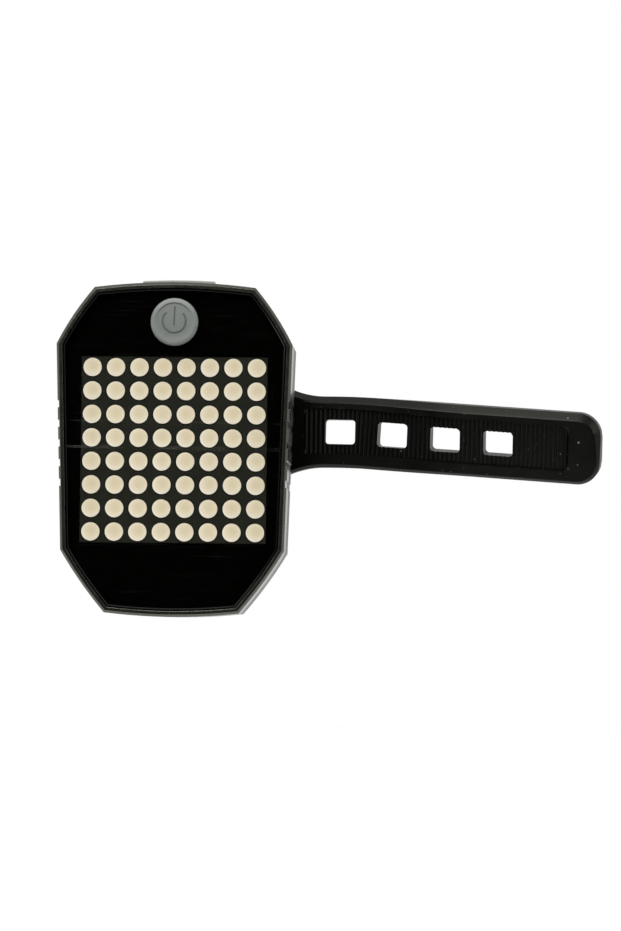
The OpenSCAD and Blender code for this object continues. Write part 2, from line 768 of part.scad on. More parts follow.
// Half section of the button: stub, flange, side, rounded edge and dished top, seen along its axis
module button_section() {
    top = button_proud + flange_back_d - lens_sink;
    top_r = button_r - button_round;
    polygon(concat(
        [[0, -stub_len], [stub_d / 2, -stub_len], [stub_d / 2, 0], [flange_r, 0], [flange_r, flange_t],
            [button_r, flange_t]],
        [for (a = [0 : round_step : 90]) [top_r, top - button_round] + button_round * [cos(a), sin(a)]],
        [[top_r - button_round / 2, top - button_dish], [0, top - button_dish]]
    ));
}

module power_button() {
    color([0.5, 0.52, 0.5]) at_depth(flange_back_d) translate([0, button_z, 0])
        rotate_extrude() button_section();
}

module switch_body() {
    well_back_d = switch_front_d + plunger_in + button_travel + touch;
    color([0.15, 0.15, 0.15]) difference() {
        depth_block([0, button_z], switch_front_d, [switch_w, switch_w, switch_h]);
        depth_bar([0, button_z], switch_front_d - over, well_back_d, plunger_d + 2 * plunger_gap);
    }
}

module switch_plunger() {
    color("ivory") depth_bar([0, button_z], plunger_front_d, switch_front_d + plunger_in, plunger_d);
}

module matrix_case() {
    color([0.16, 0.15, 0.13]) difference() {
        depth_block([0, 0], matrix_front_d, [matrix_w, matrix_w, matrix_depth]);
        at_depth(matrix_front_d + dot_len) each_dot()
            cylinder(d = dot_d + 2 * dot_gap, h = dot_len + over);
    }
}

module matrix_dots() {
    color([0.85, 0.79, 0.66]) at_depth(matrix_front_d + dot_len) each_dot()
        cylinder(d = dot_d, h = dot_len);
}

module matrix_pins() {
    color("silver") at_depth(board_back_d + pin_tail) each_pin()
        cylinder(d = pin_wire, h = board_t + pin_tail);
}

module main_board() {
    color("darkgreen") difference() {
        body_block(board_front_d, board_back_d, board_inset, board_inset);
        at_depth(board_back_d + over) each_pin()
            cylinder(d = pin_wire + 2 * pin_gap, h = board_t + 2 * over);
        for (place = SCREWS)
            depth_bar(place, board_front_d - over, board_back_d + over, screw_d + 2 * screw_gap);
    }
}

module driver_chip() {
    color([0.1, 0.1, 0.1]) depth_block([0, driver_z], board_back_d, [driver_w, driver_h, chip_t]);
}

module control_chip() {
    color([0.1, 0.1, 0.1]) depth_block([0, -control_z], board_back_d, [control_w, control_h, chip_t]);
}

module charger_chip() {
    place = [(socket_w + charger_w) / 2 + charger_gap, socket_mouth_z - socket_len];
    color([0.1, 0.1, 0.1]) depth_block(place, board_back_d, [charger_w, charger_w, chip_t]);
}

module radio_board() {
    middle = board_inset - body_bottom + radio_up + radio_h / 2;
    color("darkgreen") depth_block([0, middle], board_back_d, [radio_w, radio_h, radio_t]);
}

// The charging socket's folded shell, open at the top, on the back of the board
module charging_socket() {
    inner = [socket_w - 2 * socket_shell, socket_len, socket_t - 2 * socket_shell];
    middle = socket_mouth_z - socket_len / 2;
    color("silver") difference() {
        depth_block([0, middle], board_back_d, [socket_w, socket_len, socket_t]);
        depth_block([0, middle + socket_shell], board_back_d + socket_shell, inner);
    }
}

// The cover's outline from one x to another, under an arc that follows the top edge
module cover_outline(from_x, to_x) {
    intersection() {
        translate([from_x, cover_seat_z + touch]) square([to_x - from_x, cover_sink + cover_proud]);
        translate(TOP_EDGE[0]) circle(r = cover_arc_r, $fn = edge_facets);
    }
}

// The rubber flap of the charging port: it lifts about a round end at its flex line, and the end of
// its tongue is turned about the same line so that it swings out of the slot
module port_cover() {
    tongue_h = cover_seat_z + cover_sink / 2 - socket_mouth_z + tongue_in;
    color([0.13, 0.13, 0.12]) {
        at_depth(port_d + cover_depth / 2) linear_extrude(height = cover_depth) {
            cover_outline(-flex_x, cover_w / 2);
            translate([-flex_x, flex_z]) circle(r = flex_r);
        }
        intersection() {
            depth_block([0, socket_mouth_z - tongue_in + tongue_h / 2], port_d - tongue_t / 2,
                [tongue_w, tongue_h, tongue_t]);
            depth_bar([-flex_x, flex_z], port_d - tongue_t, port_d + tongue_t, 2 * flex_x + tongue_w);
        }
    }
}

// The fixed end of the port cover: its stem goes through the top wall and a barb holds it inside
module port_cover_anchor() {
    stem_len = cover_seat_z + cover_sink / 2 - barb_z;
    color([0.13, 0.13, 0.12]) {
        at_depth(port_d + cover_depth / 2) linear_extrude(height = cover_depth)
            cover_outline(-cover_w / 2, anchor_right);
        at_depth(port_d) translate([anchor_x, barb_z, 0]) rotate([-90, 0, 0]) {
            cylinder(d = anchor_d, h = stem_len);
            translate([0, 0, -barb_len]) cylinder(d1 = anchor_d / 2, d2 = barb_d, h = barb_len);
        }
    }
}

// A flat pouch with round sides
module battery_cell() {
    color([0.75, 0.77, 0.8]) at_depth(cell_front_d + cell_t / 2) translate([0, cell_z - cell_h / 2, 0])
        rotate([-90, 0, 0]) linear_extrude(height = cell_h) {
            square([cell_w - cell_t, cell_t], center = true);
            for (side = [-1, 1]) translate([side * (cell_w - cell_t) / 2, 0]) circle(d = cell_t);
        }
}

module battery_pad() {
    size = [cell_w - cell_t - 2 * foam_in, cell_h - 2 * foam_in, foam_t];
    color([0.2, 0.2, 0.22]) depth_block([0, cell_z], foam_front_d, size);
}

// Two leads that rise from the cell's top edge, bend forward and meet the back of the board
module battery_leads() {
    lead_d_mid = cell_front_d + cell_t / 2;
    forward = lead_d_mid - board_back_d - lead_bend;
    color("firebrick") both_sides() at_depth(lead_d_mid) translate([lead_x, cell_z + cell_h / 2, 0]) {
        rotate([-90, 0, 0]) cylinder(d = lead_d, h = lead_rise);
        translate([0, lead_rise, lead_bend]) rotate([0, 90, 0]) rotate_extrude(angle = 90)
            translate([lead_bend, 0]) circle(d = lead_d);
        translate([0, lead_rise + lead_bend, lead_bend]) cylinder(d = lead_d, h = forward);
    }
}

// Four pan-head screws with a cross recess, from the back
module housing_screws() {
    color("silver") for (place = SCREWS) {
        depth_bar(place, screw_tip_d, screw_head_d, screw_d);
        difference() {
            depth_bar(place, screw_head_d, screw_head_d + head_t, head_d);
            for (arm = [[recess_len, recess_w], [recess_w, recess_len]])
                depth_block(place, screw_head_d + head_t - recess_t, concat(arm, recess_t + over));
        }
    }
}

// The rubber cradle: a block that narrows into two horns round the post
module post_cradle() {
    base_y = back_y - cradle_seat;
    shoulder_y = back_y + cradle_floor / 2;
    color([0.1, 0.1, 0.1]) linear_extrude(height = cradle_h, center = true) difference() {
        polygon([[-horn_half, base_y], [horn_half, base_y], [horn_half, shoulder_y],
            [horn_half + horn_t, horn_y], [-horn_half - horn_t, horn_y], [-horn_half, shoulder_y]]);
        circle(r = post_r, $fn = edge_facets);
    }
}

module strap_pin() {
    color("silver") translate([pin_x, pin_y, 0]) cylinder(d = pin_d, h = pin_len, center = true);
}

function quad(a, b, c, d) = [[a, c, b], [a, d, c]];

// The strap's bar as one loft along its path, with the ribbed panel let into its front
module strap_bar() {
    last = len(STATIONS) - 1;
    first_rib = len(ROOT);
    last_rib = first_rib + len(PANEL) - 1;
    floor_start = SIDES * len(STATIONS);
    panel_low = SIDES / 2 - 1;
    panel_high = SIDES / 2;
    sections = [for (s = STATIONS) each strap_section(s)];
    floors = [for (i = [0 : len(PANEL) - 1], side = [-1, 1])
        strap_spot(PANEL[i], front_face(PANEL[i]) + floor_depth(i), side * panel_half(PANEL[i]))];
    walls = [for (i = [0 : last - 1], k = [0 : SIDES - 1])
        if (k != panel_low || i < first_rib || i >= last_rib) let (
            here = SIDES * i,
            next = (k + 1) % SIDES
        ) each quad(here + k, here + SIDES + k, here + SIDES + next, here + next)];
    ribs = [for (i = [first_rib : last_rib - 1]) let (
        low = SIDES * i + panel_low,
        high = SIDES * i + panel_high,
        f = floor_start + 2 * (i - first_rib)
    ) each concat(
        quad(low, low + SIDES, f + 2, f),
        quad(f, f + 2, f + 3, f + 1),
        quad(f + 1, f + 3, high + SIDES, high))];
    floor_end = floor_start + 2 * len(PANEL) - 1;
    panel_ends = concat(
        quad(SIDES * first_rib + panel_low, floor_start, floor_start + 1, SIDES * first_rib + panel_high),
        quad(SIDES * last_rib + panel_high, floor_end, floor_end - 1, SIDES * last_rib + panel_low));
    caps = [[for (k = [SIDES - 1 : -1 : 0]) k], [for (k = [0 : SIDES - 1]) SIDES * last + k]];
    polyhedron(points = concat(sections, floors), faces = concat(walls, ribs, panel_ends, caps));
}

// Places things in the strap's own axes at a distance along it
module on_strap(s) {
    along = strap_dir(s);
    back = strap_back(s);
    up = strap_up(s);
    place = strap_point(s);
    multmatrix([for (i = [0 : 2]) [along[i], back[i], up[i], place[i]]]) children();
}

// The rubber strap: its eye on the pin, the ribbed bar and its four holes
module strap() {
    color([0.09, 0.09, 0.08]) translate([pin_x, pin_y, 0]) difference() {
        union() {
            cylinder(r = eye_r, h = eye_len, center = true);
            strap_bar();
        }
        cylinder(d = pin_d + 2 * pin_run, h = eye_len + 2 * over, center = true);
        for (i = [0 : hole_count - 1]) on_strap(first_hole + i * hole_pitch) rotate([90, 0, 0])
            linear_extrude(height = 3 * strap_t, center = true) round_rect(hole_len, hole_w, hole_r);
    }
}

front_lens();
lens_mask();
front_housing();
rear_housing();
housing_seal();
power_button();
switch_body();
switch_plunger();
matrix_case();
matrix_dots();
matrix_pins();
main_board();
driver_chip();
control_chip();
charger_chip();
radio_board();
charging_socket();
port_cover();
port_cover_anchor();
battery_cell();
battery_pad();
battery_leads();
housing_screws();
post_cradle();
strap_pin();
strap();
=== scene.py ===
"""Looks of the bicycle turn signal light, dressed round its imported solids.

Metres, +Z up. The lens faces -Y, the strap leaves on the +X side, and the origin is on the
seat post's axis. Soft pieces are modelled here and stand for their plain solids; rigid solids
stay and get their materials here.
"""
import json
import math

import bmesh
import bpy
from mathutils import Matrix, Vector


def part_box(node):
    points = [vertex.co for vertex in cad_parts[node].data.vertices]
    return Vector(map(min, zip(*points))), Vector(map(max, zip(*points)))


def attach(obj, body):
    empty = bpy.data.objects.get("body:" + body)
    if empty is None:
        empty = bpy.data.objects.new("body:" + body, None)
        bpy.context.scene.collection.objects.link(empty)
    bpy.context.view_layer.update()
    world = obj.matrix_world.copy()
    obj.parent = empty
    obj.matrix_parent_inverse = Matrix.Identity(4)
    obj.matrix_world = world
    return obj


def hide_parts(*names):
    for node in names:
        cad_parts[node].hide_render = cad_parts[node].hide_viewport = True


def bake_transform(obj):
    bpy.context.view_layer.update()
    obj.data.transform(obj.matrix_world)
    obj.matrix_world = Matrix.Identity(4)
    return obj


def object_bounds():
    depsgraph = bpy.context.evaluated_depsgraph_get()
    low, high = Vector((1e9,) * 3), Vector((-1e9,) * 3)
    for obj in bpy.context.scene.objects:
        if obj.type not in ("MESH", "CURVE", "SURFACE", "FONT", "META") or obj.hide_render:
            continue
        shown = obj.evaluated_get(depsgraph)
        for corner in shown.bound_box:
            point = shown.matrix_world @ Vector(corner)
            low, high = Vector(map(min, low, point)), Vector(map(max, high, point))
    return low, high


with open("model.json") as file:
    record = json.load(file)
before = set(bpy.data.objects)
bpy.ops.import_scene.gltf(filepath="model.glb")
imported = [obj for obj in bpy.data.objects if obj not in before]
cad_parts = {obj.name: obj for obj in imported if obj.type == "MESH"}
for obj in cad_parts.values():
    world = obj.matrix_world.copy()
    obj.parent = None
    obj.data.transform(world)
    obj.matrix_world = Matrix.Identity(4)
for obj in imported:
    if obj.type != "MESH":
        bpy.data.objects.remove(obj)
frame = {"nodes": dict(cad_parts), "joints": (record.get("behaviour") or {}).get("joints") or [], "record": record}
cad_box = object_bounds()

MM = 0.001
X_AXIS = Vector((1, 0, 0))
Y_AXIS = Vector((0, 1, 0))
Z_AXIS = Vector((0, 0, 1))


# Sizes taken from the frame

def middle(node):
    """Middle of a solid's box."""
    low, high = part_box(node)
    return (low + high) / 2


joints = {joint["name"]: joint for joint in frame["joints"]}
mounts = {mount["name"]: mount for mount in frame["record"]["mounts"]}
lamp_centre = middle("matrix_case")
matrix_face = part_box("matrix_case")[0].y
strap_pin = Vector(joints["strap_swing"]["pos_m"])
cover_flex = Vector(joints["port_cover_lift"]["pos_m"])
post_radius = mounts["seat_post"]["dims"]["r_mm"] * MM


# Camera: where it stands, and the photo's frame

IMAGE_WIDTH = 621
IMAGE_HEIGHT = 931
# Place of the matrix's middle in the photo, and pixels for each metre in the plane of its face
LAMP_PIXEL = (173.26, 449.41)
PIXELS_PER_METRE = 4956
CAMERA_DISTANCE = 800 * MM
CAMERA_RIGHT = 63 * MM
CAMERA_BELOW = 42 * MM
CAMERA_ROLL = math.radians(0.65)
# The sensor along the image's longer side, in the camera's own millimetres
SENSOR = 36


def make_camera():
    """Camera in front of the lamp, a little to its right and below it, aimed at the frame's middle."""
    right_px = IMAGE_WIDTH / 2 - LAMP_PIXEL[0]
    up_px = LAMP_PIXEL[1] - IMAGE_HEIGHT / 2
    roll = Matrix.Rotation(CAMERA_ROLL, 2)
    across, upward = roll @ Vector((right_px, up_px)) / PIXELS_PER_METRE
    centre = Vector((lamp_centre.x, matrix_face, lamp_centre.z))
    place = centre + Vector((CAMERA_RIGHT, -CAMERA_DISTANCE, -CAMERA_BELOW))
    aim = centre + Vector((across, 0, upward))
    forward = (aim - place).normalized()
    tilted_up = Z_AXIS * math.cos(CAMERA_ROLL) - X_AXIS * math.sin(CAMERA_ROLL)
    right = forward.cross(tilted_up).normalized()
    up = right.cross(forward)
    data = bpy.data.cameras.new("camera")
    data.sensor_width = SENSOR
    data.lens = SENSOR * PIXELS_PER_METRE * (aim - place).length / IMAGE_HEIGHT
    camera = bpy.data.objects.new("camera", data)
    axes = Matrix((right, up, -forward)).transposed()
    camera.matrix_world = Matrix.Translation(place) @ axes.to_4x4()
    bpy.context.scene.collection.objects.link(camera)
    bpy.context.scene.camera = camera


make_camera()


# Materials are built from nodes, in metres of the piece's own frame

# Places of the colours and of the result among the Mix node's sockets
MIX_FIRST = 6
MIX_SECOND = 7
MIX_RESULT = 2


def feed(tree, socket, value):
    """Links an input to another node's output, or sets its value."""
    if isinstance(value, bpy.types.NodeSocket):
        tree.links.new(value, socket)
    else:
        socket.default_value = value


def add_node(tree, kind, inputs=None, **settings):
    """A new node in a tree; an input takes a value or another node's output."""
    made = tree.nodes.new("ShaderNode" + kind)
    for name, value in settings.items():
        setattr(made, name, value)
    for key, value in (inputs or {}).items():
        feed(tree, made.inputs[key], value)
    return made


def opaque(colour):
    """A colour with its fourth number, or the output that gives it."""
    return colour if isinstance(colour, bpy.types.NodeSocket) else (*colour, 1)


class Shader:
    """A material under construction, with short calls for the nodes that repeat."""

    def __init__(self, name):
        self.material = bpy.data.materials.new(name)
        self.material.use_nodes = True
        self.tree = self.material.node_tree
        self.tree.nodes.clear()
        self.place = self.node("TexCoord").outputs["Object"]

    def node(self, kind, inputs=None, **settings):
        """A new node of this material."""
        return add_node(self.tree, kind, inputs, **settings)

    def math(self, operation, *values):
        """A number worked out of others."""
        inputs = dict(enumerate(values))
        return self.node("Math", inputs, operation=operation).outputs[0]

    def scaled(self, x, y, z):
        """The place, scaled along each axis."""
        inputs = {"Vector": self.place, "Scale": (x, y, z)}
        return self.node("Mapping", inputs).outputs[0]

    def noise(self, scale, detail=3.0, roughness=0.5, vector=None):
        """Noise from 0 to 1, with features of about one over its scale."""
        inputs = {
            "Vector": vector or self.place, "Scale": scale, "Detail": detail, "Roughness": roughness}
        return self.node("TexNoise", inputs).outputs["Fac"]

    def between(self, value, low, high, to_low=0.0, to_high=1.0):
        """A number carried from one range to another, and held inside it."""
        inputs = {"Value": value, "From Min": low, "From Max": high, "To Min": to_low, "To Max": to_high}
        return self.node("MapRange", inputs).outputs[0]

    def painted(self, name):
        """A number that is painted on the mesh."""
        return self.node("Attribute", attribute_name=name).outputs["Fac"]

    def mix(self, factor, first, second):
        """A colour between two."""
        inputs = {"Factor": factor, MIX_FIRST: opaque(first), MIX_SECOND: opaque(second)}
        return self.node("Mix", inputs, data_type="RGBA").outputs[MIX_RESULT]

    def specks(self, scale, share, radius):
        """Small round spots: one in each chosen cell of a lattice, as a mask from 0 to 1."""
        cells = self.node("TexVoronoi", {"Vector": self.place, "Scale": scale})
        chosen = self.node("SeparateColor", {"Color": cells.outputs["Color"]})
        size = self.math("MULTIPLY", chosen.outputs["Green"], radius * scale)
        inside = self.between(cells.outputs["Distance"], 0.0, size, 1.0, 0.0)
        return self.math("MULTIPLY", inside, self.math("LESS_THAN", chosen.outputs["Red"], share))

    def soft_edges(self, radius):
        """A normal that rounds sharp edges, so that they catch the light."""
        return self.node("Bevel", {"Radius": radius}, samples=EDGE_SAMPLES).outputs[0]

    def bump(self, height, distance, normal=None):
        """A normal that follows small heights."""
        inputs = {"Height": height, "Distance": distance, "Strength": 1.0}
        if normal is not None:
            inputs["Normal"] = normal
        return self.node("Bump", inputs).outputs[0]

    def surface(self, **inputs):
        """The Principled shader, with the names of its inputs in lower case and underscores."""
        made = self.node("BsdfPrincipled")
        names = {socket.name.lower().replace(" ", "_"): socket for socket in made.inputs}
        for key, value in inputs.items():
            feed(self.tree, names[key], value)
        return made.outputs[0]

    def done(self, shader):
        """Ends the material with the shader that it shows."""
        self.node("OutputMaterial", {"Surface": shader})
        return self.material


def shade(colour, factor):
    """A colour made lighter or darker."""
    return tuple(channel * factor for channel in colour)


# Radius at which moulded edges catch the light, and the rays that find them
EDGE_ROUND = 0.2 * MM
EDGE_SAMPLES = 8
# Slightly warm glints of black plastic and of rubber
PLASTIC_GLINT = (1, 1, 0.86, 1)
RUBBER_GLINT = (1, 1, 0.9, 1)


def moulded_plastic(name, colour, roughness, shine=0.5, grain=0.006 * MM):
    """Moulded plastic: cloudy colour, uneven gloss and a fine spark-eroded grain."""
    s = Shader(name)
    clouds = s.noise(220, 4)
    fine = s.noise(5200, 2)
    return s.done(s.surface(
        base_color=s.mix(clouds, shade(colour, 0.75), shade(colour, 1.3)),
        roughness=s.between(clouds, 0.2, 0.8, roughness - 0.05, roughness + 0.06),
        specular_ior_level=shine,
        specular_tint=PLASTIC_GLINT,
        normal=s.bump(fine, grain, s.soft_edges(EDGE_ROUND))))


def dusty_rubber(name, colour, roughness, dust_share, shine=0.25):
    """Black moulded rubber: soft grain, rubbed patches and pale dust."""
    s = Shader(name)
    clouds = s.noise(160, 4)
    fine = s.noise(4200, 3)
    dust = s.math("MAXIMUM", s.specks(420, dust_share, 0.3 * MM), s.specks(900, dust_share, 0.09 * MM))
    lightened = s.between(s.noise(60, 5), 0.45, 0.75)
    tone = s.mix(s.math("MULTIPLY", lightened, 0.5), colour, shade(colour, 1.9))
    base = s.mix(s.math("MULTIPLY", dust, 0.75), tone, (0.42, 0.42, 0.4))
    return s.done(s.surface(
        base_color=base,
        roughness=s.between(clouds, 0.2, 0.8, roughness - 0.06, roughness + 0.08),
        specular_ior_level=shine,
        specular_tint=RUBBER_GLINT,
        normal=s.bump(fine, 0.012 * MM)))


def smooth_rubber():
    """Smooth moulded rubber of the port cover, greyed by handling."""
    s = Shader("cover_rubber")
    clouds = s.noise(260, 4)
    return s.done(s.surface(
        base_color=s.mix(clouds, (0.16, 0.16, 0.142), (0.21, 0.21, 0.187)),
        roughness=s.between(clouds, 0.2, 0.8, 0.1, 0.18),
        specular_ior_level=0.7,
        specular_tint=RUBBER_GLINT))


def brushed_metal(name, colour, roughness):
    """Plated or brushed steel with fine lines."""
    s = Shader(name)
    lines = s.noise(1, 3, vector=s.scaled(400, 400, 9000))
    return s.done(s.surface(
        base_color=s.mix(s.noise(300), shade(colour, 0.85), colour),
        metallic=1.0,
        roughness=s.between(lines, 0.3, 0.7, roughness - 0.08, roughness + 0.1),
        normal=s.bump(lines, 0.004 * MM)))


DOT_PITCH = 4.76 * MM
DOT_RADIUS = 1.85 * MM
# How far right of a dot's middle, and above it, its deepest tone lies
DEEP_RIGHT = 0.2 * MM
DEEP_UP = 0.25 * MM


def dot_distance(s, right=0.0, up=0.0):
    """Distance from the middle of the nearest dot, or from a spot beside it, in dot radii."""
    inputs = {"Vector": s.place, 1: (lamp_centre.x + right, 0, lamp_centre.z + up)}
    from_centre = s.node("VectorMath", inputs, operation="SUBTRACT").outputs[0]
    parts = s.node("SeparateXYZ", {"Vector": from_centre})
    sides = []
    for axis in ("X", "Z"):
        cell = s.math("DIVIDE", parts.outputs[axis], DOT_PITCH)
        off = s.math("SUBTRACT", s.math("FRACT", cell), 0.5)
        sides.append(s.math("MULTIPLY", off, DOT_PITCH / DOT_RADIUS))
    squares = [s.math("MULTIPLY", side, side) for side in sides]
    return s.math("SQRT", s.math("ADD", *squares))


def dot_resin():
    """Cream light guides: a mottled middle that turns paler towards the lower left of its ring."""
    s = Shader("dot_resin")
    ring = s.math("POWER", s.between(dot_distance(s, DEEP_RIGHT, DEEP_UP), 0.1, 1.15), 1.7)
    mottle = s.noise(2600, 3)
    each = s.noise(150, 1)
    middle_tone = s.mix(mottle, (0.70, 0.60, 0.38), (0.80, 0.69, 0.47))
    ring_tone = s.mix(each, (0.88, 0.80, 0.62), (0.98, 0.93, 0.80))
    return s.done(s.surface(
        base_color=s.mix(ring, middle_tone, ring_tone),
        roughness=s.between(mottle, 0.3, 0.7, 0.45, 0.6),
        normal=s.bump(mottle, 0.006 * MM)))


def matrix_plastic():
    """Dark sprayed face of the matrix, blacker round each dot."""
    s = Shader("matrix_plastic")
    grain = s.noise(3800, 3)
    far = s.between(dot_distance(s), 1.02, 1.2)
    face = s.mix(grain, (0.009, 0.0095, 0.006), (0.020, 0.021, 0.014))
    return s.done(s.surface(
        base_color=s.mix(far, (0.004, 0.004, 0.002), face),
        roughness=s.between(grain, 0.3, 0.7, 0.6, 0.75),
        specular_ior_level=0.1,
        normal=s.bump(grain, 0.008 * MM)))


# Heights of the long hairline scratches above the lamp's centre, and their slopes
SCRATCHES = ((5.62 * MM, 0.009), (0.55 * MM, 0.006), (0.2 * MM, 0.01))
SCRATCH_WIDTH = 0.05 * MM
SCRATCH_WANDER = 0.15 * MM


def hairlines(s):
    """Long level scratches across the lens, broken up along their length."""
    parts = s.node("SeparateXYZ", {"Vector": s.place})
    wander = s.math("MULTIPLY", s.noise(70, 1), SCRATCH_WANDER)
    found = None
    for height, slope in SCRATCHES:
        line = s.math("ADD", s.math("MULTIPLY", parts.outputs["X"], -slope), lamp_centre.z + height)
        off = s.math("ABSOLUTE", s.math("SUBTRACT", s.math("ADD", parts.outputs["Z"], wander), line))
        mask = s.between(off, SCRATCH_WIDTH * 0.4, SCRATCH_WIDTH * 1.6, 1.0, 0.0)
        found = mask if found is None else s.math("MAXIMUM", found, mask)
    return s.math("MULTIPLY", found, s.between(s.noise(130, 2), 0.38, 0.62))


def lens_plastic():
    """Clear polished lens with a dark edge: mirrors by its angle, with scratches, scuffs and dust."""
    s = Shader("lens_plastic")
    level = s.between(s.noise(1, 2, vector=s.scaled(60, 60, 5200)), 0.66, 0.72)
    upright = s.between(s.noise(1, 2, vector=s.scaled(4800, 60, 90)), 0.70, 0.76)
    scuffs = s.math("MULTIPLY", s.math("MAXIMUM", level, upright), 0.007)
    marks = s.math("MAXIMUM", s.math("MULTIPLY", hairlines(s), 0.055), scuffs)
    dust = s.math("MULTIPLY", s.specks(260, 0.5, 0.11 * MM), 0.3)
    haze = s.math("MAXIMUM", marks, dust)
    clear = s.node("BsdfTransparent", {"Color": (1, 1, 1, 1)}).outputs[0]
    gloss = s.node("BsdfGlossy", {"Color": (1, 1, 1, 1), "Roughness": 0.03}).outputs[0]
    pale = s.node("BsdfDiffuse", {"Color": (0.75, 0.75, 0.72, 1)}).outputs[0]
    geometry = s.node("NewGeometry")
    outside = s.math("SUBTRACT", 1.0, geometry.outputs["Backfacing"])
    mirror = s.math("MULTIPLY", s.node("Fresnel", {"IOR": 1.49}).outputs[0], outside)
    pane = s.node("MixShader", {"Fac": mirror, 1: clear, 2: gloss}).outputs[0]
    marked = s.node("MixShader", {"Fac": haze, 1: pane, 2: pale}).outputs[0]
    facing = s.node("SeparateXYZ", {"Vector": geometry.outputs["True Normal"]}).outputs["Y"]
    slanted = s.between(s.math("ABSOLUTE", facing), 0.92, 0.97, 1.0, 0.0)
    tone = s.mix(s.noise(700, 3), (0.001, 0.001, 0.001), (0.004, 0.004, 0.003))
    edge = s.surface(base_color=tone, roughness=0.12, specular_ior_level=0.22)
    return s.done(s.node("MixShader", {"Fac": slanted, 1: marked, 2: edge}).outputs[0])


def printed_black():
    """Black print behind the lens, with faint unevenness."""
    s = Shader("printed_black")
    tone = s.mix(s.noise(400, 4), (0.0005, 0.0005, 0.0004), (0.0014, 0.0013, 0.0011))
    return s.done(s.surface(base_color=tone, roughness=0.8, specular_ior_level=0.0))


def button_rubber():
    """Grey silicone of the button: fine pebbled skin, a painted highlight on the ring and the upper face, and
    painted shade in its hollows.
    """
    s = Shader("button_rubber")
    clouds = s.noise(500, 4)
    fine = s.noise(6500, 2)
    tone = s.mix(clouds, (0.150, 0.165, 0.154), (0.192, 0.208, 0.195))
    # Painted highlight: lighter on the ring, most at its top, and on the upper face
    lightened = s.mix(s.painted("lightened"), tone, (0.265, 0.28, 0.262))
    return s.done(s.surface(
        # Painted shade: darker in the symbol's groove and along the foot of the ring at the top
        base_color=s.mix(s.painted("painted_shade"), lightened, (0.055, 0.062, 0.055)),
        roughness=s.between(clouds, 0.2, 0.8, 0.58, 0.7),
        specular_ior_level=0.35,
        normal=s.bump(fine, 0.008 * MM)))


def circuit_board():
    """Green solder mask over faint copper tracks."""
    s = Shader("circuit_board")
    wave = s.node("TexWave", {"Vector": s.place, "Scale": 180, "Distortion": 3, "Detail": 1})
    tracks = s.between(wave.outputs["Fac"], 0.55, 0.65)
    tone = s.mix(tracks, (0.008, 0.085, 0.03), (0.016, 0.15, 0.05))
    return s.done(s.surface(base_color=tone, roughness=0.35, normal=s.bump(tracks, 0.02 * MM)))


def cell_foil():
    """Crinkled aluminium foil of the pouch cell."""
    s = Shader("cell_foil")
    crease = s.noise(420, 5, 0.6)
    tone = s.mix(crease, (0.55, 0.56, 0.58), (0.74, 0.75, 0.76))
    return s.done(s.surface(
        base_color=tone, metallic=0.85, roughness=s.between(crease, 0.3, 0.7, 0.3, 0.45),
        normal=s.bump(crease, 0.1 * MM)))


def open_foam():
    """Dark foam with open cells."""
    s = Shader("open_foam")
    cells = s.node("TexVoronoi", {"Vector": s.place, "Scale": 2600}).outputs["Distance"]
    tone = s.mix(cells, (0.012, 0.012, 0.014), (0.06, 0.06, 0.066))
    return s.done(s.surface(base_color=tone, roughness=0.9, normal=s.bump(cells, 0.15 * MM)))


housing_black = moulded_plastic("housing_black", (0.006, 0.006, 0.005), 0.26, 0.95)
tub_black = moulded_plastic("tub_black", (0.008, 0.008, 0.007), 0.42, 0.5, 0.012 * MM)
chip_black = moulded_plastic("chip_black", (0.012, 0.012, 0.012), 0.55)
plunger_ivory = moulded_plastic("plunger_ivory", (0.70, 0.66, 0.54), 0.45)
lead_red = moulded_plastic("lead_red", (0.36, 0.015, 0.015), 0.4)
strap_black = dusty_rubber("strap_black", (0.0026, 0.0026, 0.0022), 0.35, 0.85, 0.2)
cover_grey = smooth_rubber()
cradle_black = dusty_rubber("cradle_black", (0.010, 0.010, 0.009), 0.58, 0.4)
seal_grey = dusty_rubber("seal_grey", (0.08, 0.08, 0.08), 0.6, 0.0)
screw_steel = brushed_metal("screw_steel", (0.55, 0.55, 0.55), 0.34)
plated_steel = brushed_metal("plated_steel", (0.72, 0.71, 0.68), 0.25)
board_green = circuit_board()

NODE_MATERIALS = {
    "front_lens": lens_plastic(),
    "lens_mask": printed_black(),
    "front_housing": housing_black,
    "rear_housing": tub_black,
    "housing_seal": seal_grey,
    "power_button": button_rubber(),
    "switch_body": chip_black,
    "switch_plunger": plunger_ivory,
    "matrix_case": matrix_plastic(),
    "matrix_dots": dot_resin(),
    "matrix_pins": plated_steel,
    "main_board": board_green,
    "driver_chip": chip_black,
    "control_chip": chip_black,
    "charger_chip": chip_black,
    "radio_board": board_green,
    "charging_socket": plated_steel,
    "port_cover": cover_grey,
    "port_cover_anchor": cover_grey,
    "battery_cell": cell_foil(),
    "battery_pad": open_foam(),
    "battery_leads": lead_red,
    "housing_screws": screw_steel,
    "post_cradle": cradle_black,
    "strap_pin": screw_steel,
    "strap": strap_black,
}

for node_name, node_object in frame["nodes"].items():
    node_object.data.materials.clear()
    node_object.data.materials.append(NODE_MATERIALS[node_name])

# The lens is drawn a hair thinner, so that its back doesn't lie in the face of the print behind it
LENS_SHRINK = 0.012 * MM
thinner = frame["nodes"]["front_lens"].modifiers.new("thinner", "DISPLACE")
thinner.mid_level = 0.0
thinner.strength = -LENS_SHRINK


# Meshes of the soft pieces

SHARP = math.radians(38)
# Faces across a rounded edge, and steps round a rounded corner
EDGE_SEGMENTS = 4
CORNER_STEPS = 6
# How far in from both faces the middle of a softened edge lies, as a share of the edge's size
EDGE_SHARE = 0.3


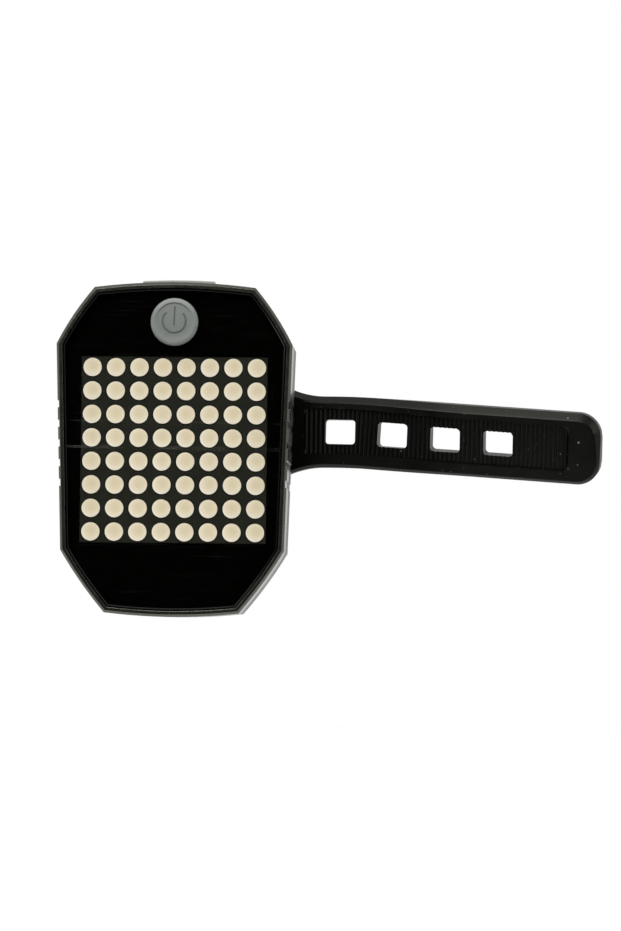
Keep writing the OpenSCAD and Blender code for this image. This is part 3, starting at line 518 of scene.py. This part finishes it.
def stand_in(name, mesh, node, body=None):
    """Shows a mesh in place of a solid, with that solid's material, on its body if it rides on one."""
    mesh.materials.append(NODE_MATERIALS[node])
    mesh.shade_smooth()
    mesh.set_sharp_from_angle(angle=SHARP)
    piece = bpy.data.objects.new(name, mesh)
    bpy.context.scene.collection.objects.link(piece)
    if body:
        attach(piece, body)
    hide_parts(node)
    return piece


def as_mesh(name, bm):
    """A mesh from a finished bmesh, with its normals outward."""
    bmesh.ops.recalc_face_normals(bm, faces=bm.faces)
    mesh = bpy.data.meshes.new(name)
    bm.to_mesh(mesh)
    bm.free()
    return mesh


def add_rings(bm, rings, joined=False):
    """A skin over closed rings of points, capped at both ends or joined into a loop."""
    rows = [[bm.verts.new(point) for point in ring] for ring in rings]
    pairs = list(zip(rows, rows[1:] + rows[:1])) if joined else list(zip(rows, rows[1:]))
    for first, second in pairs:
        for i in range(len(first)):
            j = (i + 1) % len(first)
            bm.faces.new((first[i], first[j], second[j], second[i]))
    if not joined:
        bm.faces.new(reversed(rows[0]))
        bm.faces.new(rows[-1])


def add_prism(bm, outline, start, run, rounding):
    """A prism on an outline, from its start along its run, with rounded edges."""
    part = bmesh.new()
    base = part.faces.new([part.verts.new(Vector(point) + start) for point in outline])
    grown = bmesh.ops.extrude_face_region(part, geom=[base])
    moved = [item for item in grown["geom"] if isinstance(item, bmesh.types.BMVert)]
    bmesh.ops.translate(part, vec=run, verts=moved)
    bmesh.ops.recalc_face_normals(part, faces=part.faces)
    sharp = [edge for edge in part.edges if edge.calc_face_angle(0) > SHARP]
    bmesh.ops.bevel(
        part, geom=sharp, offset=rounding, segments=EDGE_SEGMENTS, profile=0.5, affect="EDGES",
        clamp_overlap=True)
    add_part(bm, part)


def add_part(bm, part):
    """Adds a finished bmesh to another."""
    mesh = bpy.data.meshes.new("part")
    part.to_mesh(mesh)
    part.free()
    bm.from_mesh(mesh)
    bpy.data.meshes.remove(mesh)


def turned_rings(profile, centre, axis, across, steps):
    """Rings of a turned shape: each profile point is a radius and a distance along the axis."""
    other = axis.cross(across)
    angles = [2 * math.pi * i / steps for i in range(steps)]
    spokes = [across * math.cos(a) + other * math.sin(a) for a in angles]
    return [[centre + axis * along + spoke * radius for spoke in spokes] for radius, along in profile]


def rounded_rectangle(width, height, radius):
    """Points round a rectangle with rounded corners, in its own plane."""
    points = []
    for quarter, (sx, sy) in enumerate(((1, 1), (-1, 1), (-1, -1), (1, -1))):
        for i in range(CORNER_STEPS + 1):
            angle = math.pi / 2 * (quarter + i / CORNER_STEPS)
            x = sx * (width / 2 - radius) + radius * math.cos(angle)
            y = sy * (height / 2 - radius) + radius * math.sin(angle)
            points.append((x, y))
    return points


def smooth_step(value, low, high):
    """0 below low, 1 above high, and an even S between them."""
    t = min(1.0, max(0.0, (value - low) / (high - low)))
    return t * t * (3 - 2 * t)


# Strap: a bar on a bent and twisted path, with a bevelled front, a ribbed panel and four holes.
# s is a distance along it from the pin, u a place across it and b a depth from its middle

STRAP_LEN = 70.2 * MM
STRAP_W = 14.8 * MM
STRAP_T = 3 * MM
ROOT_W = 20 * MM
EYE_RADIUS = 2.7 * MM
EYE_BORE = 1.31 * MM
EYE_EDGE = 0.35 * MM
EYE_STEPS = 48
# The bar starts inside the wall of the eye
STRAP_START = EYE_BORE * 1.5
FLARE_END = 12 * MM
TIP_RADIUS = 4.8 * MM
UPPER_BEVEL = 1.4 * MM
LOWER_BEVEL = 0.65 * MM
# Places across the strap between which the bevel grows, and how softly it starts
BEVEL_GROWS_FROM = -3 * MM
BEVEL_GROWS_TO = 6 * MM
BEVEL_SOFTNESS = 0.05
BACK_BEVEL = 0.3 * MM
HOLE_COUNT = 4
FIRST_HOLE = 15.3 * MM
HOLE_PITCH = 11.2 * MM
HOLE_LEN = 6.2 * MM
HOLE_W = 5.05 * MM
HOLE_RADIUS = 0.75 * MM
# Half the length of the blocks that the holes are cut with
CUTTER_HALF = STRAP_T * 1.5
PANEL_START = 7.7 * MM
PANEL_W = 9.5 * MM
PANEL_DEPTH = 0.6 * MM
PANEL_RADIUS = 1.2 * MM
PANEL_WALL = 0.14 * MM
RIB_COUNT = 59
RIB_PITCH = 0.95 * MM
RIB_HEIGHT = 0.35 * MM
RIB_SHARPNESS = 1.6
PANEL_END = PANEL_START + RIB_COUNT * RIB_PITCH
STRAP_BEND = math.radians(13)
STRAP_DROOP = math.radians(4.2)
STRAP_TWIST = math.radians(17)
TWIST_START = 12 * MM
TWIST_END = 44 * MM
BEND_START = 14 * MM
BEND_LEN = 8 * MM
bend_radius = BEND_LEN / STRAP_BEND
bend_slant = math.asin(math.sin(STRAP_DROOP) / math.sin(STRAP_BEND))
bend_away = Vector((0, -math.cos(bend_slant), -math.sin(bend_slant)))
bend_axis = X_AXIS.cross(bend_away)
# Steps of the mesh: for each rib, for the root and for the tip
RIB_STEPS = 8
ROOT_STEPS = 24
TIP_STEPS = 40
# Points that lie closer than this after the holes are cut become one
WELD = 0.004 * MM


def strap_axes(s):
    """Middle of the strap at a distance from its pin, with the directions along it, back and up."""
    turn = STRAP_BEND * min(1.0, max(0.0, (s - BEND_START) / BEND_LEN))
    roll = STRAP_TWIST * smooth_step(s, TWIST_START, TWIST_END)
    bent = Matrix.Rotation(turn, 3, bend_axis)
    along = bent @ X_AXIS
    rolled = Matrix.Rotation(roll, 3, along) @ bent
    place = strap_pin + X_AXIS * (min(s, BEND_START) + bend_radius * math.sin(turn))
    place = place + bend_away * bend_radius * (1 - math.cos(turn))
    place = place + along * max(0.0, s - BEND_START - BEND_LEN)
    return place, along, rolled @ Y_AXIS, rolled @ Z_AXIS


def strap_half(s):
    """Half of the strap's width: wide at the eye, and round at the tip."""
    flare = min(1.0, max(0.0, (FLARE_END - s) / (FLARE_END - EYE_RADIUS))) ** 2
    past = max(0.0, s - STRAP_LEN + TIP_RADIUS)
    cut = TIP_RADIUS - math.sqrt(max(0.0, TIP_RADIUS ** 2 - past ** 2))
    return STRAP_W / 2 + (ROOT_W - STRAP_W) / 2 * flare - cut


def edge_distance(s, u):
    """Distance of a point of the front from the strap's outline."""
    past = s - STRAP_LEN + TIP_RADIUS
    out = abs(u) - STRAP_W / 2 + TIP_RADIUS
    if past > 0 and out > 0:
        return TIP_RADIUS - math.hypot(past, out)
    return min(STRAP_LEN - s, strap_half(s) - abs(u))


def panel_distance(s, u):
    """Distance inside the ribbed panel's rounded outline, and below 0 outside it."""
    half_len = (PANEL_END - PANEL_START) / 2
    off_s = abs(s - PANEL_START - half_len) - half_len + PANEL_RADIUS
    off_u = abs(u) - PANEL_W / 2 + PANEL_RADIUS
    corner = math.hypot(max(0.0, off_s), max(0.0, off_u))
    return PANEL_RADIUS - corner - min(0.0, max(off_s, off_u))


def rib_depth(s):
    """Depth of the panel's floor: narrow round ribs between flat valleys."""
    phase = (s - PANEL_START) / RIB_PITCH
    crest = (0.5 - 0.5 * math.cos(2 * math.pi * phase)) ** RIB_SHARPNESS
    return PANEL_DEPTH - RIB_HEIGHT * crest


def bevel_size(u):
    """Width and depth of the front's bevel: broad along the upper edge, narrow along the lower one."""
    return LOWER_BEVEL + (UPPER_BEVEL - LOWER_BEVEL) * smooth_step(u, BEVEL_GROWS_FROM, BEVEL_GROWS_TO)


def front_depth(s, u):
    """How far the front skin lies behind the flat of the front."""
    size = bevel_size(u)
    slope = 1 - edge_distance(s, u) / size
    bevel = size * max(0.0, (slope + math.hypot(slope, BEVEL_SOFTNESS)) / 2 - BEVEL_SOFTNESS / 4)
    inside = smooth_step(panel_distance(s, u), 0.0, PANEL_WALL)
    return min(size, bevel) + rib_depth(s) * inside


# Places across half of the front, in millimetres, closer together at the panel's wall and the bevels,
# and the place past which they move out with the strap's edge where the root widens
FRONT_PLACES = (0, 1, 2, 3, 3.8, 4.4, 4.61, 4.68, 4.75, 4.85, 5.2, 5.5, 5.8, 5.93, 6.0, 6.07, 6.2, 6.5,
                6.68, 6.75, 6.82, 7.1, 7.3, 7.4)
WIDE_FROM = 6.0


def front_places(s):
    """Places across the whole front at a distance along the strap."""
    half = strap_half(s)
    full = STRAP_W / 2
    places = []
    for millimetres in FRONT_PLACES:
        u = millimetres * MM
        if half < full:
            u *= half / full
        elif millimetres > WIDE_FROM:
            u = half - (full - u)
        places.append(u)
    return [-u for u in reversed(places[1:])] + places


def strap_ring(s):
    """Closed ring of points round the strap's section."""
    place, _, back, up = strap_axes(s)
    half = strap_half(s)
    rear = STRAP_T / 2
    near = BACK_BEVEL * EDGE_SHARE
    spots = [(front_depth(s, u) - rear, u) for u in front_places(s)]
    spots += [(rear - BACK_BEVEL, half), (rear - near, half - near)]
    spots += [(rear, half - BACK_BEVEL), (rear, 0.0), (rear, BACK_BEVEL - half)]
    spots += [(rear - near, near - half), (rear - BACK_BEVEL, -half)]
    return [place + back * b + up * u for b, u in spots]


def strap_stations():
    """Distances along the strap at which its section is drawn."""
    root = PANEL_START - STRAP_START
    stations = [STRAP_START + root * i / ROOT_STEPS for i in range(ROOT_STEPS)]
    stations += [PANEL_START + RIB_PITCH * i / RIB_STEPS for i in range(RIB_COUNT * RIB_STEPS + 1)]
    rest = STRAP_LEN - PANEL_END
    stations += [PANEL_END + rest * (i + 1) / TIP_STEPS for i in range(TIP_STEPS)]
    return stations


def strap_hole(bm, s):
    """The block that a hole of the strap is cut with."""
    place, along, back, up = strap_axes(s)
    outline = rounded_rectangle(HOLE_LEN, HOLE_W, HOLE_RADIUS)
    add_rings(bm, [[place + back * b + along * x + up * u for x, u in outline]
                   for b in (-CUTTER_HALF, CUTTER_HALF)])


def cut_with(name, mesh, cutter):
    """A mesh with another taken out of it."""
    solid = bpy.data.objects.new(name, mesh)
    tool = bpy.data.objects.new(name + "_cutter", cutter)
    for item in (solid, tool):
        bpy.context.scene.collection.objects.link(item)
    change = solid.modifiers.new("cut", "BOOLEAN")
    change.object = tool
    change.operation = "DIFFERENCE"
    change.solver = "EXACT"
    shape = bpy.data.meshes.new_from_object(solid.evaluated_get(bpy.context.evaluated_depsgraph_get()))
    for item in (solid, tool):
        bpy.data.objects.remove(item)
    return shape


def make_strap():
    """The strap's bar with its holes, and the eye that turns on the pin."""
    bar = bmesh.new()
    add_rings(bar, [strap_ring(s) for s in strap_stations()])
    holes = bmesh.new()
    for i in range(HOLE_COUNT):
        strap_hole(holes, FIRST_HOLE + i * HOLE_PITCH)
    shape = cut_with("strap_bar", as_mesh("strap_bar", bar), as_mesh("strap_holes", holes))
    whole = bmesh.new()
    whole.from_mesh(shape)
    bmesh.ops.remove_doubles(whole, verts=whole.verts, dist=WELD)
    spare = [vertex for vertex in whole.verts if len(vertex.link_edges) == 2]
    bmesh.ops.dissolve_verts(whole, verts=spare)
    half = ROOT_W / 2
    near = EYE_EDGE * EDGE_SHARE
    upper = [(EYE_RADIUS, half - EYE_EDGE), (EYE_RADIUS - near, half - near),
             (EYE_RADIUS - EYE_EDGE, half), (EYE_BORE, half)]
    lower = [(radius, -along) for radius, along in reversed(upper)]
    add_rings(whole, turned_rings(lower + upper, strap_pin, Z_AXIS, X_AXIS, EYE_STEPS), joined=True)
    stand_in("strap_band", as_mesh("strap_band", whole), "strap", "strap")


make_strap()


# Power button: a dished disc in a raised ring, with a power symbol sunk into it

BUTTON_RADIUS = 4.8 * MM
BUTTON_ROUND = 0.75 * MM
DISH_RADIUS = 3.85 * MM
DISH_DEPTH = 0.22 * MM
SYMBOL_RADIUS = 2.36 * MM
SYMBOL_LINE = 0.21 * MM
SYMBOL_DEPTH = 0.2 * MM
# Distances from the line's middle at which the groove's wall starts and ends
GROOVE_FLOOR = SYMBOL_LINE * 0.45
GROOVE_EDGE = SYMBOL_LINE * 1.35
SYMBOL_GAP = math.radians(49)
SYMBOL_TURN = math.radians(2.5)
BAR_TOP = 2.9 * MM
BAR_BOTTOM = -0.65 * MM
# How much narrower the bar is than the ring
BAR_NARROWER = 1.5
# How far in the dish's wall reaches at the top of the button, and what the sides and bottom add to it
WALL_STEEP = 0.12 * MM
WALL_SOFT = 0.9 * MM
# Shares of painted highlight and painted shade: the ring away from its top, the face, the symbol and the foot of
# the ring
RING_HIGHLIGHT = 0.35
FACE_HIGHLIGHT = 0.3
SYMBOL_SHADE = 0.42
FOOT_SHADE = 0.45
# Heights on the face between which its painted highlight grows
FACE_HIGHLIGHT_FROM = -2.5 * MM
FACE_HIGHLIGHT_TO = 3.0 * MM
# How far the painted shadow at the foot of the ring lies inside the dish's radius, and where its line fades and
# ends
FOOT_INSIDE = 0.1 * MM
FOOT_FADES = 0.04 * MM
FOOT_ENDS = 0.17 * MM
# Cosines of the angle from the top between which the wall gets steep, the ring gets its painted highlight and its
# foot its painted shadow
STEEP_RANGE = (0.1, 0.7)
HIGHLIGHT_RANGE = (0.3, 0.9)
SHADED_RANGE = (0.4, 0.8)
FLANGE_T = 0.8 * MM
STUB_LEN = 0.3 * MM
STUB_RADIUS = 1.5 * MM
# Steps of the mesh, and how strongly its rings crowd towards the rim
BUTTON_RINGS = 84
BUTTON_SPOKES = 180
RING_POWER = 0.8


def symbol_share(x, z):
    """1 in the symbol's groove and 0 outside it: a ring open at the top, and a bar in the opening."""
    x, z = Matrix.Rotation(SYMBOL_TURN, 2) @ Vector((x, z))
    angle = abs(math.atan2(x, z))
    radius = math.hypot(x, z)
    if angle > SYMBOL_GAP:
        ring = abs(radius - SYMBOL_RADIUS)
    else:
        end_x = SYMBOL_RADIUS * math.sin(SYMBOL_GAP)
        end_z = SYMBOL_RADIUS * math.cos(SYMBOL_GAP)
        ring = math.hypot(abs(x) - end_x, z - end_z)
    bar = math.hypot(x, z - min(BAR_TOP, max(BAR_BOTTOM, z)))
    near = min(ring, bar * BAR_NARROWER)
    return 1 - smooth_step(near, GROOVE_FLOOR, GROOVE_EDGE)


def upper_share(x, z, low, high):
    """1 towards the top of the button and 0 towards its sides and bottom."""
    return smooth_step(math.cos(math.atan2(x, z)), low, high)


def ring_share(x, z):
    """1 on the raised ring and 0 in the dish, whose wall is steep at the top and soft below."""
    soft = WALL_STEEP + WALL_SOFT * (1 - upper_share(x, z, *STEEP_RANGE))
    return smooth_step(math.hypot(x, z), DISH_RADIUS - soft, DISH_RADIUS + soft / 2)


def highlight_share(x, z):
    """How much the painted highlight lightens the skin: most on the top of the ring, a little on the upper face.
    """
    ring = ring_share(x, z) * (RING_HIGHLIGHT + (1 - RING_HIGHLIGHT) * upper_share(x, z, *HIGHLIGHT_RANGE))
    face = FACE_HIGHLIGHT * smooth_step(z, FACE_HIGHLIGHT_FROM, FACE_HIGHLIGHT_TO)
    return max(ring, face * (1 - ring_share(x, z)))


def shade_share(x, z):
    """How dark the painted shade in the hollows is: the symbol's groove, and the foot of the ring at the top."""
    foot = abs(math.hypot(x, z) - DISH_RADIUS + FOOT_INSIDE)
    arc = (1 - smooth_step(foot, FOOT_FADES, FOOT_ENDS)) * upper_share(x, z, *SHADED_RANGE)
    return max(SYMBOL_SHADE * symbol_share(x, z), FOOT_SHADE * arc)


def button_depth(x, z):
    """How far the button's top lies behind its highest ring."""
    dish = DISH_DEPTH * (1 - ring_share(x, z))
    past = max(0.0, math.hypot(x, z) - BUTTON_RADIUS + BUTTON_ROUND)
    edge = BUTTON_ROUND - math.sqrt(max(0.0, BUTTON_ROUND ** 2 - past ** 2))
    return dish + SYMBOL_DEPTH * symbol_share(x, z) + edge


def paint(mesh, name, share):
    """Paints a number on each point of a mesh."""
    layer = mesh.attributes.new(name, "FLOAT", "POINT")
    for vertex in mesh.vertices:
        layer.data[vertex.index].value = share(vertex.co)


def make_button():
    """The button from its top to the stub behind its flange."""
    low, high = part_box("power_button")
    centre = middle("power_button")
    flange_radius = (high.x - low.x) / 2
    flange_back = high.y - STUB_LEN
    flange_front = flange_back - FLANGE_T
    bm = bmesh.new()
    rings = []
    for i in range(1, BUTTON_RINGS + 1):
        radius = BUTTON_RADIUS * math.sin(math.pi / 2 * i / BUTTON_RINGS) ** RING_POWER
        ring = []
        for k in range(BUTTON_SPOKES):
            angle = 2 * math.pi * k / BUTTON_SPOKES
            x, z = radius * math.sin(angle), radius * math.cos(angle)
            ring.append(Vector((centre.x + x, low.y + button_depth(x, z), centre.z + z)))
        rings.append(ring)
    behind = [(BUTTON_RADIUS, flange_front), (flange_radius, flange_front), (flange_radius, flange_back),
              (STUB_RADIUS, flange_back), (STUB_RADIUS, high.y)]
    profile = [(radius, y - centre.y) for radius, y in behind]
    rings += turned_rings(profile, centre, Y_AXIS, Z_AXIS, BUTTON_SPOKES)
    add_rings(bm, rings)
    mesh = as_mesh("button_cap", bm)
    # Painted shade in the symbol's groove and the painted shadow at the top of the dish's wall
    paint(mesh, "painted_shade", lambda co: shade_share(co.x - centre.x, co.z - centre.z))
    # Painted highlight on the ring and the upper face, strongest at the top
    paint(mesh, "lightened", lambda co: highlight_share(co.x - centre.x, co.z - centre.z))
    stand_in("button_cap", mesh, "power_button", "button")


make_button()


# Port cover: one rubber moulding that bends at its flex line, with a tongue and a barbed stem

# Radius of the arched top, and height and depth of the rounding along its front and back
COVER_ARC = 128.494 * MM
COVER_ROUND = 0.7 * MM
COVER_ROUND_RUN = 2.0 * MM
COVER_END = 0.15 * MM
COVER_STEPS = 40
ROUND_STEPS = 8
TONGUE_W = 6.2 * MM
TONGUE_T = 1.4 * MM
TONGUE_ROUND = 0.35 * MM
TONGUE_STEPS = 8
STEM_RADIUS = 0.8 * MM
STEM_STEPS = 24
BARB_RADIUS = 1.0 * MM
BARB_LEN = 1.0 * MM
cover_low, cover_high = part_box("port_cover")
anchor_low, anchor_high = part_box("port_cover_anchor")
cover_middle = (cover_low.y + cover_high.y) / 2
arc_centre_z = cover_high.z - COVER_ARC
# The bar's underside, and the height inside the bar at which the tongue and the stem start
seat_z = cover_flex.z - (cover_flex.x - cover_low.x)
root_z = seat_z + COVER_ROUND


def cover_ring(x, inset):
    """Ring round the cover's section at a place across it: flat below, with a rounded top."""
    top = arc_centre_z + math.sqrt(COVER_ARC ** 2 - x ** 2) - inset
    half = (cover_high.y - cover_low.y) / 2 - inset
    ring = [Vector((x, cover_middle - half, seat_z)), Vector((x, cover_middle + half, seat_z))]
    for side in (1, -1):
        for i in range(ROUND_STEPS + 1):
            angle = math.pi / 2 * (i / ROUND_STEPS if side > 0 else 1 - i / ROUND_STEPS)
            y = cover_middle + side * (half - COVER_ROUND_RUN * (1 - math.cos(angle)))
            ring.append(Vector((x, y, top - COVER_ROUND + COVER_ROUND * math.sin(angle))))
    return ring


def make_cover():
    """The moulding: its bar with softened ends, the tongue in the port and the stem in the wall."""
    bm = bmesh.new()
    left, right = anchor_low.x, cover_high.x
    run = right - left - 2 * COVER_END
    near = COVER_END * EDGE_SHARE
    stations = [(left, COVER_END), (left + near, near)]
    stations += [(left + COVER_END + run * i / COVER_STEPS, 0.0) for i in range(COVER_STEPS + 1)]
    stations += [(right - near, near), (right, COVER_END)]
    add_rings(bm, [cover_ring(x, inset) for x, inset in stations])
    swing = TONGUE_W / 2 - cover_flex.x
    first = math.acos((cover_flex.z - cover_low.z) / swing)
    last = math.acos((cover_flex.z - root_z) / swing)
    tongue = [(-TONGUE_W / 2, 0, root_z), (-TONGUE_W / 2, 0, cover_low.z)]
    for i in range(TONGUE_STEPS + 1):
        angle = first + (last - first) * i / TONGUE_STEPS
        spoke = Vector((math.sin(angle), 0, -math.cos(angle))) * swing
        tongue.append((cover_flex.x + spoke.x, 0, cover_flex.z + spoke.z))
    tongue_front = Y_AXIS * (cover_middle - TONGUE_T / 2)
    add_prism(bm, tongue, tongue_front, Y_AXIS * TONGUE_T, TONGUE_ROUND)
    stem = Vector(((anchor_low.x + anchor_high.x) / 2, cover_middle, anchor_low.z))
    profile = [(STEM_RADIUS / 2, 0), (BARB_RADIUS, BARB_LEN), (STEM_RADIUS, BARB_LEN),
               (STEM_RADIUS, root_z - anchor_low.z)]
    add_rings(bm, turned_rings(profile, stem, Z_AXIS, X_AXIS, STEM_STEPS))
    piece = stand_in("port_flap", as_mesh("port_flap", bm), "port_cover")
    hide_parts("port_cover_anchor")
    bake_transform(piece)


make_cover()


# Cradle: a rubber block whose two horns wrap the post

CRADLE_ROUND = 0.5 * MM
CRADLE_SEAT = 0.6 * MM
CRADLE_SHOULDER = 1.3 * MM
CRADLE_STEPS = 40


def make_cradle():
    """The cradle's section, drawn out along the post."""
    low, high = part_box("post_cradle")
    horn_x = math.sqrt(post_radius ** 2 - high.y ** 2)
    shoulder = low.y + CRADLE_SEAT + CRADLE_SHOULDER
    wrap = math.asin(horn_x / post_radius)
    outline = [(-horn_x, low.y, 0), (horn_x, low.y, 0), (horn_x, shoulder, 0), (high.x, high.y, 0)]
    for i in range(CRADLE_STEPS + 1):
        angle = wrap * (1 - 2 * i / CRADLE_STEPS)
        outline.append((post_radius * math.sin(angle), -post_radius * math.cos(angle), 0))
    outline += [(low.x, high.y, 0), (-horn_x, shoulder, 0)]
    bm = bmesh.new()
    add_prism(bm, outline, Z_AXIS * low.z, Z_AXIS * (high.z - low.z), CRADLE_ROUND)
    stand_in("cradle_pad", as_mesh("cradle_pad", bm), "post_cradle", "lamp")


make_cradle()


# Foam behind the cell

FOAM_ROUND = 0.2 * MM
FOAM_CORNER = 2 * MM


def make_foam():
    """The foam pad with softened edges."""
    low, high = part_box("battery_pad")
    corners = rounded_rectangle(high.x - low.x, high.z - low.z, FOAM_CORNER)
    centre = middle("battery_pad")
    outline = [(centre.x + x, 0, centre.z + z) for x, z in corners]
    bm = bmesh.new()
    add_prism(bm, outline, Y_AXIS * low.y, Y_AXIS * (high.y - low.y), FOAM_ROUND)
    pad = stand_in("foam_pad", as_mesh("foam_pad", bm), "battery_pad", "lamp")


make_foam()


# Stage: pale floor, white surround and soft boxes

FLOOR_DROP = 90 * MM
FLOOR_HALF = 4.0
FLOOR_AHEAD = 150 * MM
# Light that the floor shows to the camera and in mirrors, beyond what falls on it
FLOOR_GLOW = 0.32
# Cosines of the angle from straight out of the lens at which the surround starts to dim and is dark
DIM_FROM = 0.25
DIM_TO = 0.68
# Soft boxes: place and size in metres, power in watts
KEY_PLACE = (-0.35, -0.85, 0.7)
KEY_SIZE = 0.7
KEY_POWER = 11.9
FILL_PLACE = (0.85, -0.6, 0.35)
FILL_SIZE = 0.6
FILL_POWER = 2.2


def make_floor():
    """A wide pale floor below and behind the hanging lamp, bright for the camera but still shaded."""
    s = Shader("floor_pale")
    path = s.node("LightPath")
    seen = s.math("MAXIMUM", path.outputs["Is Camera Ray"], path.outputs["Is Glossy Ray"])
    seen = s.math("MAXIMUM", seen, path.outputs["Is Transmission Ray"])
    tone = s.mix(s.noise(3, 2), (0.86, 0.86, 0.86), (0.88, 0.88, 0.88))
    matt = s.node("BsdfDiffuse", {"Color": tone}).outputs[0]
    glow = s.node("Emission", {"Strength": s.math("MULTIPLY", seen, FLOOR_GLOW)}).outputs[0]
    material = s.done(s.node("AddShader", {0: matt, 1: glow}).outputs[0])
    height = cad_box[0].z - FLOOR_DROP
    corners = [(-FLOOR_HALF, -FLOOR_AHEAD), (FLOOR_HALF, -FLOOR_AHEAD),
               (FLOOR_HALF, FLOOR_HALF), (-FLOOR_HALF, FLOOR_HALF)]
    mesh = bpy.data.meshes.new("floor")
    mesh.from_pydata([(x, y, height) for x, y in corners], [], [(0, 1, 2, 3)])
    mesh.materials.append(material)
    floor = bpy.data.objects.new("floor", mesh)
    bpy.context.scene.collection.objects.link(floor)


def make_world():
    """White surround, dim only in front of the lens, so that the glossy lens mirrors little light."""
    world = bpy.data.worlds.new("surround")
    world.use_nodes = True
    bpy.context.scene.world = world
    tree = world.node_tree
    tree.nodes.clear()
    way = add_node(tree, "TexCoord").outputs["Generated"]
    ahead = add_node(tree, "VectorMath", {0: way, 1: -Y_AXIS}, operation="DOT_PRODUCT").outputs["Value"]
    dimming = {"Value": ahead, "From Min": DIM_FROM, "From Max": DIM_TO, "To Min": 1.0, "To Max": 0.0}
    level = add_node(tree, "MapRange", dimming, interpolation_type="SMOOTHSTEP").outputs[0]
    seen = add_node(tree, "LightPath").outputs["Is Camera Ray"]
    strength = add_node(tree, "Math", {0: level, 1: seen}, operation="MAXIMUM").outputs[0]
    light = add_node(tree, "Background", {"Color": (1, 1, 1, 1), "Strength": strength}).outputs[0]
    add_node(tree, "OutputWorld", {"Surface": light})


def make_soft_box(name, place, size, power):
    """A square studio light that faces the lens."""
    data = bpy.data.lights.new(name, "AREA")
    data.shape = "SQUARE"
    data.size = size
    data.energy = power
    light = bpy.data.objects.new(name, data)
    light.location = place
    light.rotation_mode = "QUATERNION"
    light.rotation_quaternion = (Y_AXIS * matrix_face - Vector(place)).to_track_quat("-Z", "Y")
    bpy.context.scene.collection.objects.link(light)


make_floor()
make_world()
make_soft_box("key_lamp", KEY_PLACE, KEY_SIZE, KEY_POWER)
make_soft_box("fill_lamp", FILL_PLACE, FILL_SIZE, FILL_POWER)
bpy.context.scene.view_settings.view_transform = "Standard"
